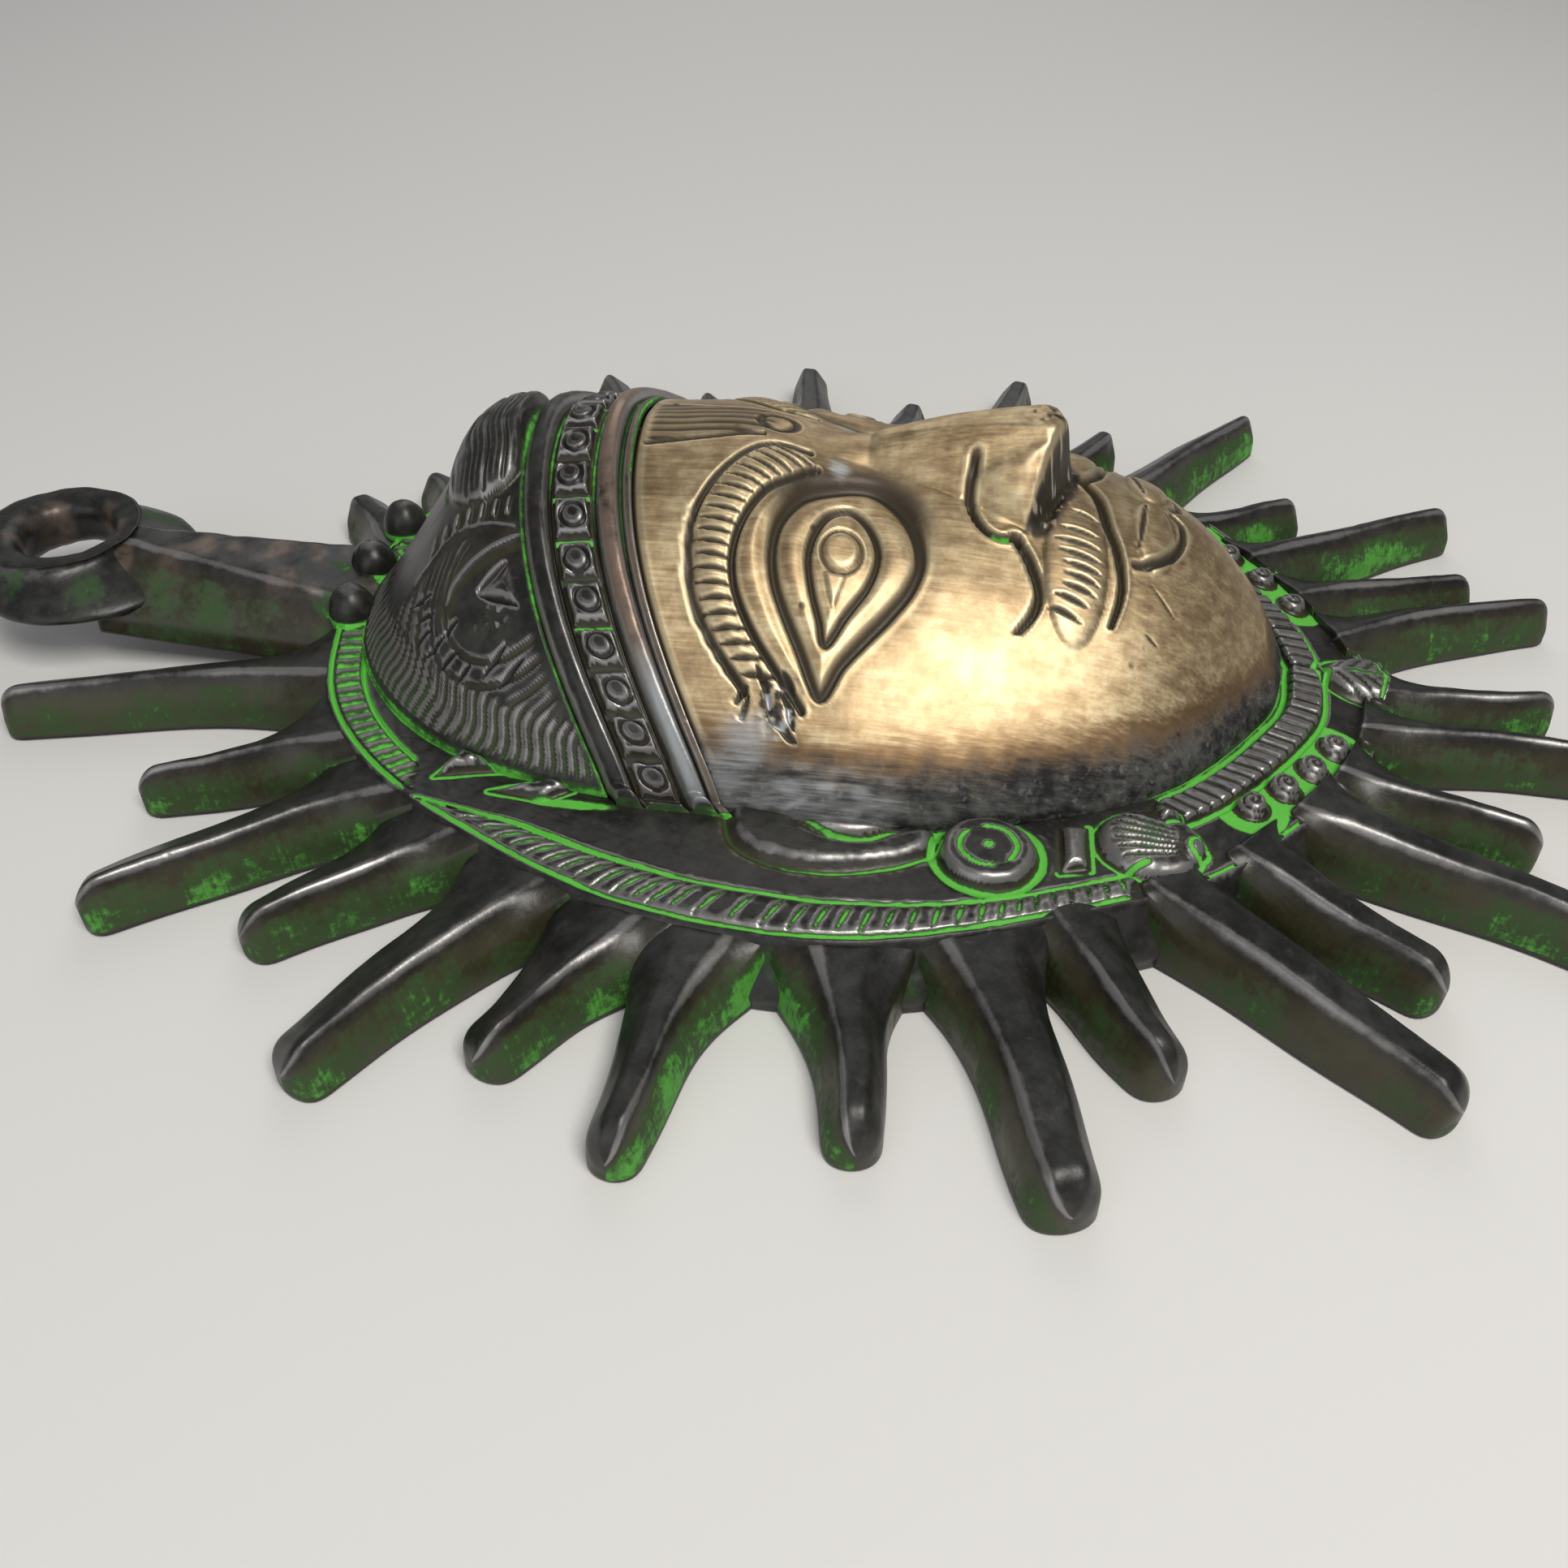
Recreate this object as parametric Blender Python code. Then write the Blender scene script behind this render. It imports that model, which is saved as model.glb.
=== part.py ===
"""Sun face wall hanging: one hollow-backed brass casting, hung by the ring at its top.

Plan coordinates, in millimetres: x across the face, y up it towards the ring, and relief h out of the
wall, all measured from the middle of the face plate. The finished part stands upright against a wall
on the plane y = 0, looks along -Y, and has its origin on the wall behind the point where a nail bears
in the ring.
"""

import math

import bmesh
import bpy
import numpy as np

MM = 0.001

# Ring and stem that carry the casting
RING_BORE = 12.0
RING_SECTION = 7.5
RING_LIFT = 8.0
RING_FLANK_SLOPE = 8.0
RING_CENTRE_Y = 101.5
STEM_WIDTH_AT_CROWN = 23.0
STEM_WIDTH_AT_RING = 23.5
STEM_THICKNESS = 9.3
STEM_END_BELOW_RING_FOOT = 2.0
STEM_END_FROM_BORE = 2.0
STEM_FOOT_SHIFT = 3.2
STEM_TOP_AT_CROWN = 0.62
STEM_TOP_AT_RING = 0.12
RING_TURNS = 24
RING_SIDES = 8

# Face plate and the hollow behind it
WALL = 3.5
BACK_RIM = 6.0
PLATE_THICKNESS = 8.5
PLATE_DROP_BELOW_CHIN = 3.0
PLATE_DROP_FROM_Y = -55.0
PLATE_DROP_TO_Y = -80.0
SKIRT_REACH = 3.0
SKIRT_THICKNESS = 5.0
HEAD_BASE = 9.0

# Half outlines from the crown down the left side to the foot, as (x, y)
PLATE_OUTLINE = (
    (0, 63), (-22, 57.5), (-36, 46.5), (-46.5, 30), (-53.5, 14), (-56, -4),
    (-54, -19), (-48, -36), (-41.5, -50), (-31, -61.5), (-17, -72), (0, -78),
)
HEAD_OUTLINE = (
    (0, 58.5), (-14, 55.5), (-26, 47), (-33.5, 35), (-37, 20), (-37.5, 5),
    (-38.8, -10), (-35.6, -28), (-27.8, -46), (-11.8, -60), (0, -63.5),
)
# Height of the head along its middle, as (y, h), without nose, knob and headband
HEAD_PROFILE = (
    (58.5, 9), (54, 14.5), (48, 23), (43, 29.8), (38, 34), (28, 36.4), (12, 37.8), (4, 37.9),
    (-8, 35.3), (-20, 34.4), (-36, 32.2), (-48, 27.8), (-57, 19.7), (-62.3, 11.5), (-63.5, 9),
)
HEAD_SECTION_SHARPNESS = 1.65
HEAD_SECTION_FULLNESS = 0.8

# Nose: a wedge that rises from the bridge to a blunt tip
NOSE_BRIDGE_Y = -8.0
NOSE_TIP_Y = -31.0
NOSE_RISE = 9.0
NOSE_BRIDGE_HALF = 3.2
NOSE_WING_HALF = 10.8

# Headband: an outer roll, a row of tiles and an inner roll, drooping to the sides
BAND_CREST_Y = 33.0
BAND_DROOP = 15.4
BAND_HALF_SPAN = 38.0
BAND_END = 39.5
OUTER_ROLL = 3.4
TILE_ROW = 5.8
INNER_ROLL = 3.9
OUTER_ROLL_RISE = 2.4
TILE_RISE = 1.3
INNER_ROLL_RISE = 1.7
TILE_PITCH = 5.6
TILE_GAP_DEPTH = 0.9
TILE_GAP_HALF = 0.6

# Carved lines of the face's left half, as (x, y)
BROW_TOP = ((-4.5, -1), (-4.6, 3.5), (-10.3, 9.8), (-18.4, 11.4), (-26.5, 7.5), (-31, 2))
BROW_FOOT = ((-6.4, -2), (-10.5, 3.3), (-17, 6.3), (-22, 5.5), (-27.3, 1.5), (-31.7, -3.5))
LID_TOP = ((-6.8, -10), (-7.6, -5), (-11, -0.3), (-17.1, 1.9), (-22.9, -0.1), (-29.6, -5))
LID_FOOT = ((-6.8, -10), (-11, -14), (-16, -15), (-22, -12), (-29.6, -5))
EYE_TOP = ((-11.2, -6.5), (-14.5, -3.1), (-19, -2.6), (-25.3, -5))
EYE_FOOT = ((-11.2, -6.5), (-14, -10), (-19, -9), (-25.3, -5))
NOSE_WING = ((-4.4, -20), (-7.5, -20.2), (-11.2, -24), (-10, -27))
CHEEK_LINE = ((-10, -27), (-13.8, -28), (-17.3, -29.3), (-21.2, -27))
MOUTH_LINE = ((0, -35), (-4, -36.2), (-9, -37.6), (-17.5, -38.2))
PUPIL = (-16.4, -6)
PUPIL_RADIUS = 2.6
PUPIL_RISE = 0.8
LOWER_LIP = (0, -41.5, 8.5, 3.2, 1.1)
UPPER_LIP = (-10, -33, 9.5, 3.6, 0.9)

# Raised ornaments of the collar's left half: middle, half width, half height, rise
EARRING = (-41.2, -25.2, 5.7, 5.9, 1.9)
TRAPEZOID = (-39.3, -35, 4.2, 1.6, 1.2)
SHELL = (-38, -43.4, 5.6, 5.9, 2.2)
EAR_LOBE = (-37.6, -9.5, 2.3, 5.2, 1.3)
STUDS = ((-27.2, -57.4), (-24.2, -61.9), (-20.2, -66), (-15.6, -69.6))
STUD_RADIUS = 2.1
STUD_RISE = 1.2
EAR_ROLL = ((-35.5, 4.5), (-40.6, -0.2), (-43, -7.5), (-42.4, -14), (-39.6, -18.8))
EAR_ROLL_HALF = 2.7
EAR_ROLL_RISE = 1.9
ROPE_BAND = 5.2
ROPE_RISE = 1.0
ROPE_FOOT = (-45, -40)
ROPE_HEAD = (41, 45)
CROWN_BAND_FOOT = (52, 60)
NECKLACE_GAP = 2.2
NECKLACE_BAND = 4.4
NECKLACE_RISE = 1.0
NECKLACE_TOP_Y = -44.0

# Crest and crown
KNOB = (0, 37.8, 11.5, 6.8, 3.4)
BEADS = ((-5.6, 59.9), (5.4, 60.7), (16.4, 59.8))
BEAD_RADIUS = 3.9
BEAD_RISE = 4.4
TURBAN_LEAF = (-20.5, 36.5, 5.5, 4.2, 1.6)
PENDANT = (0, -77.5, 6.4, 7.6, 2.4)

# Rays: tip of each one as (x, y), counted from the ring down the left side and up the right side
RAY_TIPS = (
    (-24.5, 101.5), (-37.5, 77), (-56.5, 75), (-58.5, 55.5), (-75.5, 44), (-71.5, 25.5), (-81.5, 9.8),
    (-77.5, -13.7), (-82, -34), (-65.5, -44.6), (-65.5, -73), (-50, -75), (-41, -96), (-25.5, -92),
    (-10, -107), (1, -101), (24, -107), (28.5, -97), (48, -98), (48, -74.5), (77, -71), (67, -46),
    (85, -31.8), (73, -13), (84.5, 6.5), (72, 24), (77, 43), (60, 55), (53, 60), (38, 63.5), (29.5, 72.5),
)
# Angle of the roots from straight down, in degrees, from the ring to the lowest ray, alike on both sides
RAY_ROOTS = (166.5, 154, 143, 132, 117.5, 105, 95, 79.5, 64, 53.5, 42.5, 32, 22.5, 15, 7.5, 0)
RAY_ROOT_WIDTH = 11.0
RAY_TIP_WIDTH = 5.6
RAY_ROOT_SHARE = 0.95
RAY_TIP_THICKNESS = 7.2
RAY_SHARP_TOP = 0.14
RAY_FLAT_TOP = 0.42
FLAT_TOPPED_RAYS = (6, 7, 8, 10, 15)

# Facets of the finished solid
COLUMNS = 248
HEAD_ROWS = 52
COLLAR_ROWS = 16
BACK_ROWS = 10
KEPT_FACETS = 0.14

# The nail bears at the top of the bore, and the rays start inside the solid rim
HANG_Y = RING_CENTRE_Y + RING_BORE / 2
RAY_BURIED = (BACK_RIM - SKIRT_REACH) * 0.25


def smooth_curve(points, steps=12):
    """Catmull-Rom curve through the points, with the given steps between each two."""
    known = np.array(points, float)
    ends = np.vstack([2 * known[0] - known[1], known, 2 * known[-1] - known[-2]])
    a, b, c, d = (part[:, None, :] for part in (ends[:-3], ends[1:-2], ends[2:-1], ends[3:]))
    u = (np.arange(steps) / steps)[None, :, None]
    curve = 2 * b + (c - a) * u + (2 * a - 5 * b + 4 * c - d) * u**2 + (3 * b - a - 3 * c + d) * u**3
    return np.vstack([curve.reshape(-1, known.shape[1]) / 2, known[-1]])


def ease(value, start, end):
    """0 before start, 1 after end, and a smooth step between them."""
    t = np.clip((value - start) / (end - start), 0, 1)
    return t * t * (3 - 2 * t)


def radius_of(half_outline):
    """Radius of a mirrored outline as a function of the angle from straight down."""
    half = smooth_curve(half_outline)
    whole = np.vstack([half, (half * (-1, 1))[::-1][1:-1]])
    angle = np.arctan2(whole[:, 0], -whole[:, 1])
    order = np.argsort(angle)
    reach = np.hypot(whole[:, 0], whole[:, 1])[order]
    return lambda at: np.interp(at, angle[order], reach, period=2 * math.pi)


def distance_to(x, y, curve):
    """Distance of every point from a curve given as a chain of short straight steps."""
    nearest = np.full(np.shape(x), np.inf)
    for start, end in zip(curve[:-1], curve[1:]):
        run = end - start
        along = np.clip(((x - start[0]) * run[0] + (y - start[1]) * run[1]) / (run @ run), 0, 1)
        nearest = np.minimum(nearest, np.hypot(x - start[0] - along * run[0], y - start[1] - along * run[1]))
    return nearest


def groove(x, y, points, half_width, depth):
    """A soft V cut along a curve: depth times a bell of the distance from it."""
    distance = distance_to(x, y, smooth_curve(points, 5))
    return -depth * np.exp(-((distance / half_width) ** 2))


def roll(distance, half_width, rise):
    """A half-round bead of the given half width."""
    return rise * np.sqrt(np.clip(1 - (distance / half_width) ** 2, 0, 1))


def boss(x, y, place):
    """A domed oval boss: rise times the square root of 1 - r to the fourth."""
    middle_x, middle_y, half_x, half_y, rise = place
    share = ((x - middle_x) / half_x) ** 2 + ((y - middle_y) / half_y) ** 2
    return rise * np.clip(1 - share**2, 0, 1) ** 0.5


head_radius = radius_of(HEAD_OUTLINE)
plate_radius = radius_of(PLATE_OUTLINE)


def head_dome(x, y, shrink=0.0):
    """Height of the head above the wall, from its middle profile and its rounded cross-section."""
    outline = smooth_curve(HEAD_OUTLINE)[::-1]
    profile = smooth_curve(HEAD_PROFILE)[::-1]
    reach_y = HEAD_OUTLINE[0][1] - HEAD_OUTLINE[-1][1]
    y = y * reach_y / (reach_y - 2 * shrink)
    half_width = np.maximum(np.interp(y, outline[:, 1], -outline[:, 0], left=0, right=0) - shrink, 0.01)
    middle = np.interp(y, profile[:, 0], profile[:, 1], left=HEAD_BASE, right=HEAD_BASE)
    share = np.clip(np.abs(x) / half_width, 0, 1)
    section = (1 - share**HEAD_SECTION_SHARPNESS) ** HEAD_SECTION_FULLNESS
    return (middle - HEAD_BASE) * section


def nose(x, y):
    """A roof-shaped wedge, wider and higher towards its squared tip."""
    along = np.clip((NOSE_BRIDGE_Y - y) / (NOSE_BRIDGE_Y - NOSE_TIP_Y), 0, 1)
    half = NOSE_BRIDGE_HALF + (NOSE_WING_HALF - NOSE_BRIDGE_HALF) * along**1.2
    ridge = np.clip(1 - np.abs(x) / half, 0, 1) ** 0.85
    height = 1.6 + (NOSE_RISE - 1.6) * along**0.8
    return height * ridge * ease(-y, 3, 10) * (1 - ease(-y, -NOSE_TIP_Y - 0.6, -NOSE_TIP_Y + 1.8))


def headband(x, y):
    """Rolls and tiles by the distance below the band's drooping upper edge."""
    side = np.abs(x)
    below = BAND_CREST_Y - BAND_DROOP * (side / BAND_HALF_SPAN) ** 2.5 - y
    tile_middle = OUTER_ROLL + TILE_ROW / 2
    inner_middle = OUTER_ROLL + TILE_ROW + INNER_ROLL / 2
    rise = roll(below - OUTER_ROLL / 2, OUTER_ROLL / 2, OUTER_ROLL_RISE)
    from_gap = np.abs(side % TILE_PITCH - TILE_PITCH / 2)
    gap = TILE_GAP_DEPTH * np.exp(-((from_gap / TILE_GAP_HALF) ** 2))
    tiles = (TILE_RISE - gap) * (1 - ease(np.abs(below - tile_middle), TILE_ROW / 2 - 0.8, TILE_ROW / 2))
    rise = rise + tiles + roll(below - inner_middle, INNER_ROLL / 2, INNER_ROLL_RISE)
    return rise * (1 - ease(side, BAND_END - 1.2, BAND_END))


def face_carving(x, y):
    """Brow, lids, eye, nose wing and mouth of both halves."""
    left = -np.abs(x)
    depth = groove(left, y, BROW_TOP, 0.75, 1.0) + groove(left, y, BROW_FOOT, 0.75, 1.0)
    depth = depth + groove(left, y, LID_TOP, 1.5, 1.7) + groove(left, y, LID_FOOT, 1.5, 1.5)
    depth = depth + groove(left, y, EYE_TOP, 0.8, 0.9) + groove(left, y, EYE_FOOT, 0.8, 0.9)
    depth = depth + groove(left, y, NOSE_WING, 1.0, 1.5) + groove(left, y, CHEEK_LINE, 0.9, 1.2)
    depth = depth + groove(left, y, MOUTH_LINE, 0.9, 1.3)
    pupil = PUPIL + (PUPIL_RADIUS, PUPIL_RADIUS, PUPIL_RISE)
    return depth + boss(left, y, pupil) + boss(x, y, LOWER_LIP) + boss(left, y, UPPER_LIP)


def collar(x, y, angle, reach):
    """Rope border, ear, earring, shell, necklace and studs on the plate round the head."""
    left = -np.abs(x)
    inside = plate_radius(angle) - reach
    outside_head = reach - head_radius(angle)
    rope = roll(inside - ROPE_BAND / 2, ROPE_BAND / 2, ROPE_RISE)
    gap = ease(y, *ROPE_HEAD) * (1 - ease(y, *CROWN_BAND_FOOT))
    rope = rope * ease(y, *ROPE_FOOT) * (1 - gap)
    necklace = roll(outside_head - NECKLACE_GAP - NECKLACE_BAND / 2, NECKLACE_BAND / 2, NECKLACE_RISE)
    necklace = necklace * (1 - ease(y, NECKLACE_TOP_Y - 2, NECKLACE_TOP_Y))
    ear = roll(distance_to(left, y, smooth_curve(EAR_ROLL, 5)), EAR_ROLL_HALF, EAR_ROLL_RISE)
    raised = np.maximum(np.maximum(rope, necklace), ear)
    for place in (EARRING, TRAPEZOID, SHELL, EAR_LOBE, PENDANT):
        raised = np.maximum(raised, boss(left, y, place))
    for stud in STUDS:
        raised = np.maximum(raised, boss(left, y, stud + (STUD_RADIUS, STUD_RADIUS, STUD_RISE)))
    for bead in BEADS:
        raised = np.maximum(raised, boss(x, y, bead + (BEAD_RADIUS, BEAD_RADIUS, BEAD_RISE)))
    ring = np.abs(np.hypot(left - EARRING[0], y - EARRING[1]) - EARRING[2] * 0.58)
    return raised - 0.7 * np.exp(-((ring / 0.7) ** 2))


def plate_height(y):
    """The plate is level round the face and thins below the chin."""
    return PLATE_THICKNESS - PLATE_DROP_BELOW_CHIN * ease(-y, -PLATE_DROP_FROM_Y, -PLATE_DROP_TO_Y)


def front_height(x, y, angle, reach):
    """Relief of the whole front: plate, collar, head, headband, crown and face."""
    on_head = 1 - ease(reach - head_radius(angle), -0.4, 0.4)
    rise = head_dome(x, y) + nose(x, y)
    leaf = boss(-np.abs(x), y, TURBAN_LEAF)
    crown = np.maximum(boss(x, y, KNOB), leaf) * ease(y, BAND_CREST_Y - 12, BAND_CREST_Y - 8)
    dressed = rise + np.maximum(headband(x, y), crown * on_head)
    base = plate_height(y) + (HEAD_BASE - PLATE_THICKNESS) * on_head
    return base + dressed + face_carving(x, y) * on_head + collar(x, y, angle, reach) * (1 - on_head)


def back_height(x, y, angle, reach):
    """Hollow behind the plate and head, a wall's thickness under the front, inside a flat rim."""
    under = plate_height(y) - WALL
    inside = plate_radius(angle) + SKIRT_REACH - BACK_RIM - reach
    return (under + head_dome(x, y, WALL)) * ease(inside, 0, WALL)


def on_the_wall(x, y, h):
    """Plan millimetres to metres: relief looks along -Y, and the ring's bearing point is at height 0."""
    return np.stack([x, -h, y - HANG_Y], -1).reshape(-1, 3) * MM


def ring_faces(first, second):
    """Quads between two rings of points, given as index arrays, wound from first to second."""
    return np.stack([first, np.roll(first, -1), np.roll(second, -1), second], 1)


def add_mesh(name, points, faces, collection):
    """An object of the given points and faces, with its faces turned outwards."""
    mesh = bpy.data.meshes.new(name)
    mesh.from_pydata([tuple(point) for point in points], [], [tuple(int(i) for i in face) for face in faces])
    shape = bmesh.new()
    shape.from_mesh(mesh)
    bmesh.ops.recalc_face_normals(shape, faces=shape.faces)
    shape.to_mesh(mesh)
    shape.free()
    made = bpy.data.objects.new(name, mesh)
    collection.objects.link(made)
    return made


def face_shell(collection):
    """Front and back of the plate and head as one closed mesh on rings round the middle of the face."""
    angle = np.arange(COLUMNS) / COLUMNS * 2 * math.pi - math.pi
    head = head_radius(angle)
    plate = plate_radius(angle)
    rows = []
    for share in 1 - (1 - np.arange(1, HEAD_ROWS + 1) / HEAD_ROWS) ** 1.25:
        rows.append((head * share, front_height))
    for share in np.arange(1, COLLAR_ROWS + 1) / COLLAR_ROWS:
        rows.append((head + (plate - head) * share, front_height))
    rows.append((plate + SKIRT_REACH * 0.3, lambda x, y, at, reach: np.full(x.shape, SKIRT_THICKNESS)))
    rows.append((plate + SKIRT_REACH, lambda x, y, at, reach: np.full(x.shape, SKIRT_THICKNESS * 0.85)))
    rows.append((plate + SKIRT_REACH, lambda x, y, at, reach: np.zeros(x.shape)))
    hollow = plate + SKIRT_REACH - BACK_RIM
    rows.append((hollow, back_height))
    for share in 1 - np.arange(1, BACK_ROWS) / BACK_ROWS:
        rows.append((hollow * share, back_height))
    points = []
    for reach, height in rows:
        x = reach * np.sin(angle)
        y = -reach * np.cos(angle)
        points.append(on_the_wall(x, y, height(x, y, angle, reach)))
    centre = np.zeros(1)
    for height in (front_height, back_height):
        points.append(on_the_wall(centre, centre, height(centre, centre, centre, centre)))
    count = COLUMNS * len(rows)
    rings = np.arange(count).reshape(len(rows), COLUMNS)
    faces = [face for a, b in zip(rings[:-1], rings[1:]) for face in ring_faces(a, b)]
    for ring, pole in ((rings[0], count), (rings[-1], count + 1)):
        faces += [(first, second, pole) for first, second in zip(ring, np.roll(ring, -1))]
    return add_mesh("sun_face_casting", np.vstack(points), faces, collection)


def lofted(name, sections, collection):
    """A closed solid through rings of points that all have the same count."""
    count = len(sections[0])
    rings = np.arange(count * len(sections)).reshape(len(sections), count)
    faces = [face for a, b in zip(rings[:-1], rings[1:]) for face in ring_faces(a, b)]
    faces += [rings[0], rings[-1]]
    return add_mesh(name, np.vstack(sections), faces, collection)


def ray(number, tip, collection):
    """One ray: a roof-shaped bar from inside the plate's rim to a blunt tip near the wall."""
    last = len(RAY_TIPS) - 1
    angle = math.radians(-RAY_ROOTS[number] if number < len(RAY_ROOTS) else RAY_ROOTS[last - number])
    reach = plate_radius(angle)
    root = np.array([math.sin(angle), -math.cos(angle)]) * reach
    run = np.array(tip) - root
    length = np.hypot(*run)
    forward = run / length
    across = np.array([-forward[1], forward[0]])
    top = RAY_FLAT_TOP if number in FLAT_TOPPED_RAYS else RAY_SHARP_TOP
    root_thickness = plate_height(root[1]) * RAY_ROOT_SHARE
    sections = []
    for along in (-RAY_BURIED / length, 0.25, 0.6, 0.9, 1.0):
        blend = max(along, 0)
        end = 0.62 if along == 1.0 else 1.0
        half = (RAY_ROOT_WIDTH + (RAY_TIP_WIDTH - RAY_ROOT_WIDTH) * blend**0.8) / 2 * end
        thick = (root_thickness + (RAY_TIP_THICKNESS - root_thickness) * blend) * (0.3 + 0.7 * end)
        side = np.array([-1, -1, -top, top, 1, 1]) * half
        height = np.array([0.06, 0.5, 1, 1, 0.5, 0.06]) * thick
        middle = root + run * along
        plan = middle[:, None] + across[:, None] * side
        sections.append(on_the_wall(plan[0], plan[1], height))
    return lofted(f"ray_{number + 1:02d}", sections, collection)


def hanging_ring(collection):
    """A ring of rounded section, its bore facing the wall, whose outer side slopes more towards the stem."""
    middle = (RING_BORE + RING_SECTION) / 2
    turn = np.arange(RING_TURNS) / RING_TURNS * 2 * math.pi
    sections = []
    for side in np.arange(RING_SIDES) / RING_SIDES * 2 * math.pi + math.pi / RING_SIDES:
        outward = math.copysign(abs(math.cos(side)) ** 0.7, math.cos(side))
        upward = math.copysign(abs(math.sin(side)) ** 0.7, math.sin(side))
        slope = RING_FLANK_SLOPE * np.sin(turn / 2) ** 2 * max(outward, 0) ** 2 * upward
        reach = middle + RING_SECTION / 2 * outward - slope
        lift = RING_LIFT + RING_SECTION / 2 * (1 + upward)
        x = reach * np.sin(turn)
        y = RING_CENTRE_Y + reach * np.cos(turn)
        sections.append(on_the_wall(x, y, np.full(RING_TURNS, lift)))
    rings = np.arange(RING_TURNS * RING_SIDES).reshape(RING_SIDES, RING_TURNS)
    faces = [face for a, b in zip(rings, np.roll(rings, -1, 0)) for face in ring_faces(a, b)]
    return add_mesh("hanging_ring", np.vstack(sections), faces, collection)


def stem(collection):
    """The neck from the crown to the ring: wide sloping flanks and a flat top that narrows to a ridge."""
    foot = PLATE_OUTLINE[0][1] - 5
    head = RING_CENTRE_Y - RING_BORE / 2 - STEM_END_FROM_BORE
    sections = []
    for share in (0.0, 0.2, 0.5, 0.8, 1.0):
        half = (STEM_WIDTH_AT_CROWN + (STEM_WIDTH_AT_RING - STEM_WIDTH_AT_CROWN) * share) / 2
        middle = STEM_FOOT_SHIFT * (1 - share)
        lift = (RING_LIFT - STEM_END_BELOW_RING_FOOT) * share
        top = STEM_TOP_AT_CROWN + (STEM_TOP_AT_RING - STEM_TOP_AT_CROWN) * share
        side = middle + np.array([-1, -0.95, -top, top, 0.95, 1, 0]) * half
        height = lift + np.array([0.05, 0.35, 1.0, 1.0, 0.35, 0.05, 0.02]) * STEM_THICKNESS
        sections.append(on_the_wall(side, np.full(7, foot + (head - foot) * share), height))
    return lofted("stem", sections, collection)


def brass():
    """Dark brown-black patina over brass, as the casting shows on most of its surface."""
    material = bpy.data.materials.new("patinated_brass")
    material.use_nodes = True
    shader = material.node_tree.nodes["Principled BSDF"]
    shader.inputs["Base Color"].default_value = (0.09, 0.07, 0.05, 1)
    shader.inputs["Roughness"].default_value = 0.42
    shader.inputs["Metallic"].default_value = 0.85
    return material


def build():
    for old in list(bpy.data.objects):
        bpy.data.objects.remove(old)
    scene = bpy.context.scene.collection
    joined = bpy.data.collections.new("joined_to_the_plate")
    scene.children.link(joined)
    casting = face_shell(scene)
    fewer = casting.modifiers.new("fewer facets", "DECIMATE")
    fewer.ratio = KEPT_FACETS
    hanging_ring(joined)
    stem(joined)
    for number, tip in enumerate(RAY_TIPS):
        ray(number, tip, joined)
    for helper in joined.objects:
        helper.hide_render = True
        helper.display_type = "WIRE"
    union = casting.modifiers.new("join rays, stem and ring", "BOOLEAN")
    union.operation = "UNION"
    union.operand_type = "COLLECTION"
    union.collection = joined
    casting.data.materials.append(brass())


build()
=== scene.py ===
"""Looks of the sun face wall hanging: a brass casting with a rubbed face and a dark, green-painted collar.

Plan coordinates, in millimetres, are those of the casting: x across the face, y up it towards the ring and
relief h out of the wall, measured from the middle of the face plate. Every surface is a grid of plan points
that is stood up against the wall at the end.
"""

import math

import bpy
import numpy as np
from mathutils import Matrix, Vector


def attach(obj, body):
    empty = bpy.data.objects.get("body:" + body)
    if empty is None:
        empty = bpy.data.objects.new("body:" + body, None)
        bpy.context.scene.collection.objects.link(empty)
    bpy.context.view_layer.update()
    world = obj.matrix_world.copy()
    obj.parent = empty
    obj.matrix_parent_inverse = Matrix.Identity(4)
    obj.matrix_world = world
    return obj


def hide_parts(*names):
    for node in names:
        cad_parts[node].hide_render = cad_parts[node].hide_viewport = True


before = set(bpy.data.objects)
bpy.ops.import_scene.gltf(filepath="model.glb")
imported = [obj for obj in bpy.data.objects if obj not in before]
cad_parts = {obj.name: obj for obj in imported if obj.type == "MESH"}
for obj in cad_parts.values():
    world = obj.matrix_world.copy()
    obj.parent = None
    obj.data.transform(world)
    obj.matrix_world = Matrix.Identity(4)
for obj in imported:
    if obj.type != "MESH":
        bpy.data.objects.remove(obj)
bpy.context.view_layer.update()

MM = 0.001
CASTING = "sun_face_casting"
HANG_Y = 107.5

# Half outlines from the crown down the left side to the foot, as (x, y), shared with the solid
PLATE_OUTLINE = (
    (0, 63), (-22, 57.5), (-36, 46.5), (-46.5, 30), (-53.5, 14), (-56, -4),
    (-54, -19), (-48, -36), (-41.5, -50), (-31, -61.5), (-17, -72), (0, -78),
)
HEAD_OUTLINE = (
    (0, 58.5), (-14, 55.5), (-26, 47), (-33.5, 35), (-37, 20), (-37.5, 5),
    (-38.8, -10), (-35.6, -28), (-27.8, -46), (-11.8, -60), (0, -63.5),
)
HEAD_PROFILE = (
    (58.5, 9), (54, 14.5), (48, 23), (43, 29.8), (38, 34), (28, 36.4), (12, 37.8), (4, 37.9),
    (-8, 35.3), (-20, 34.4), (-36, 32.2), (-48, 27.8), (-57, 19.7), (-62.3, 11.5), (-63.5, 9),
)
HEAD_TOP_Y = 58.5
HEAD_FOOT_Y = -63.5
HEAD_BASE = 9.0
SECTION_SHARPNESS = 1.65
SECTION_FULLNESS = 0.8
WALL = 3.5
BACK_RIM = 6.0
PLATE_THICKNESS = 8.5
PLATE_DROP_BELOW_CHIN = 3.0
SKIRT_REACH = 3.0
SKIRT_THICKNESS = 5.0

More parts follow.
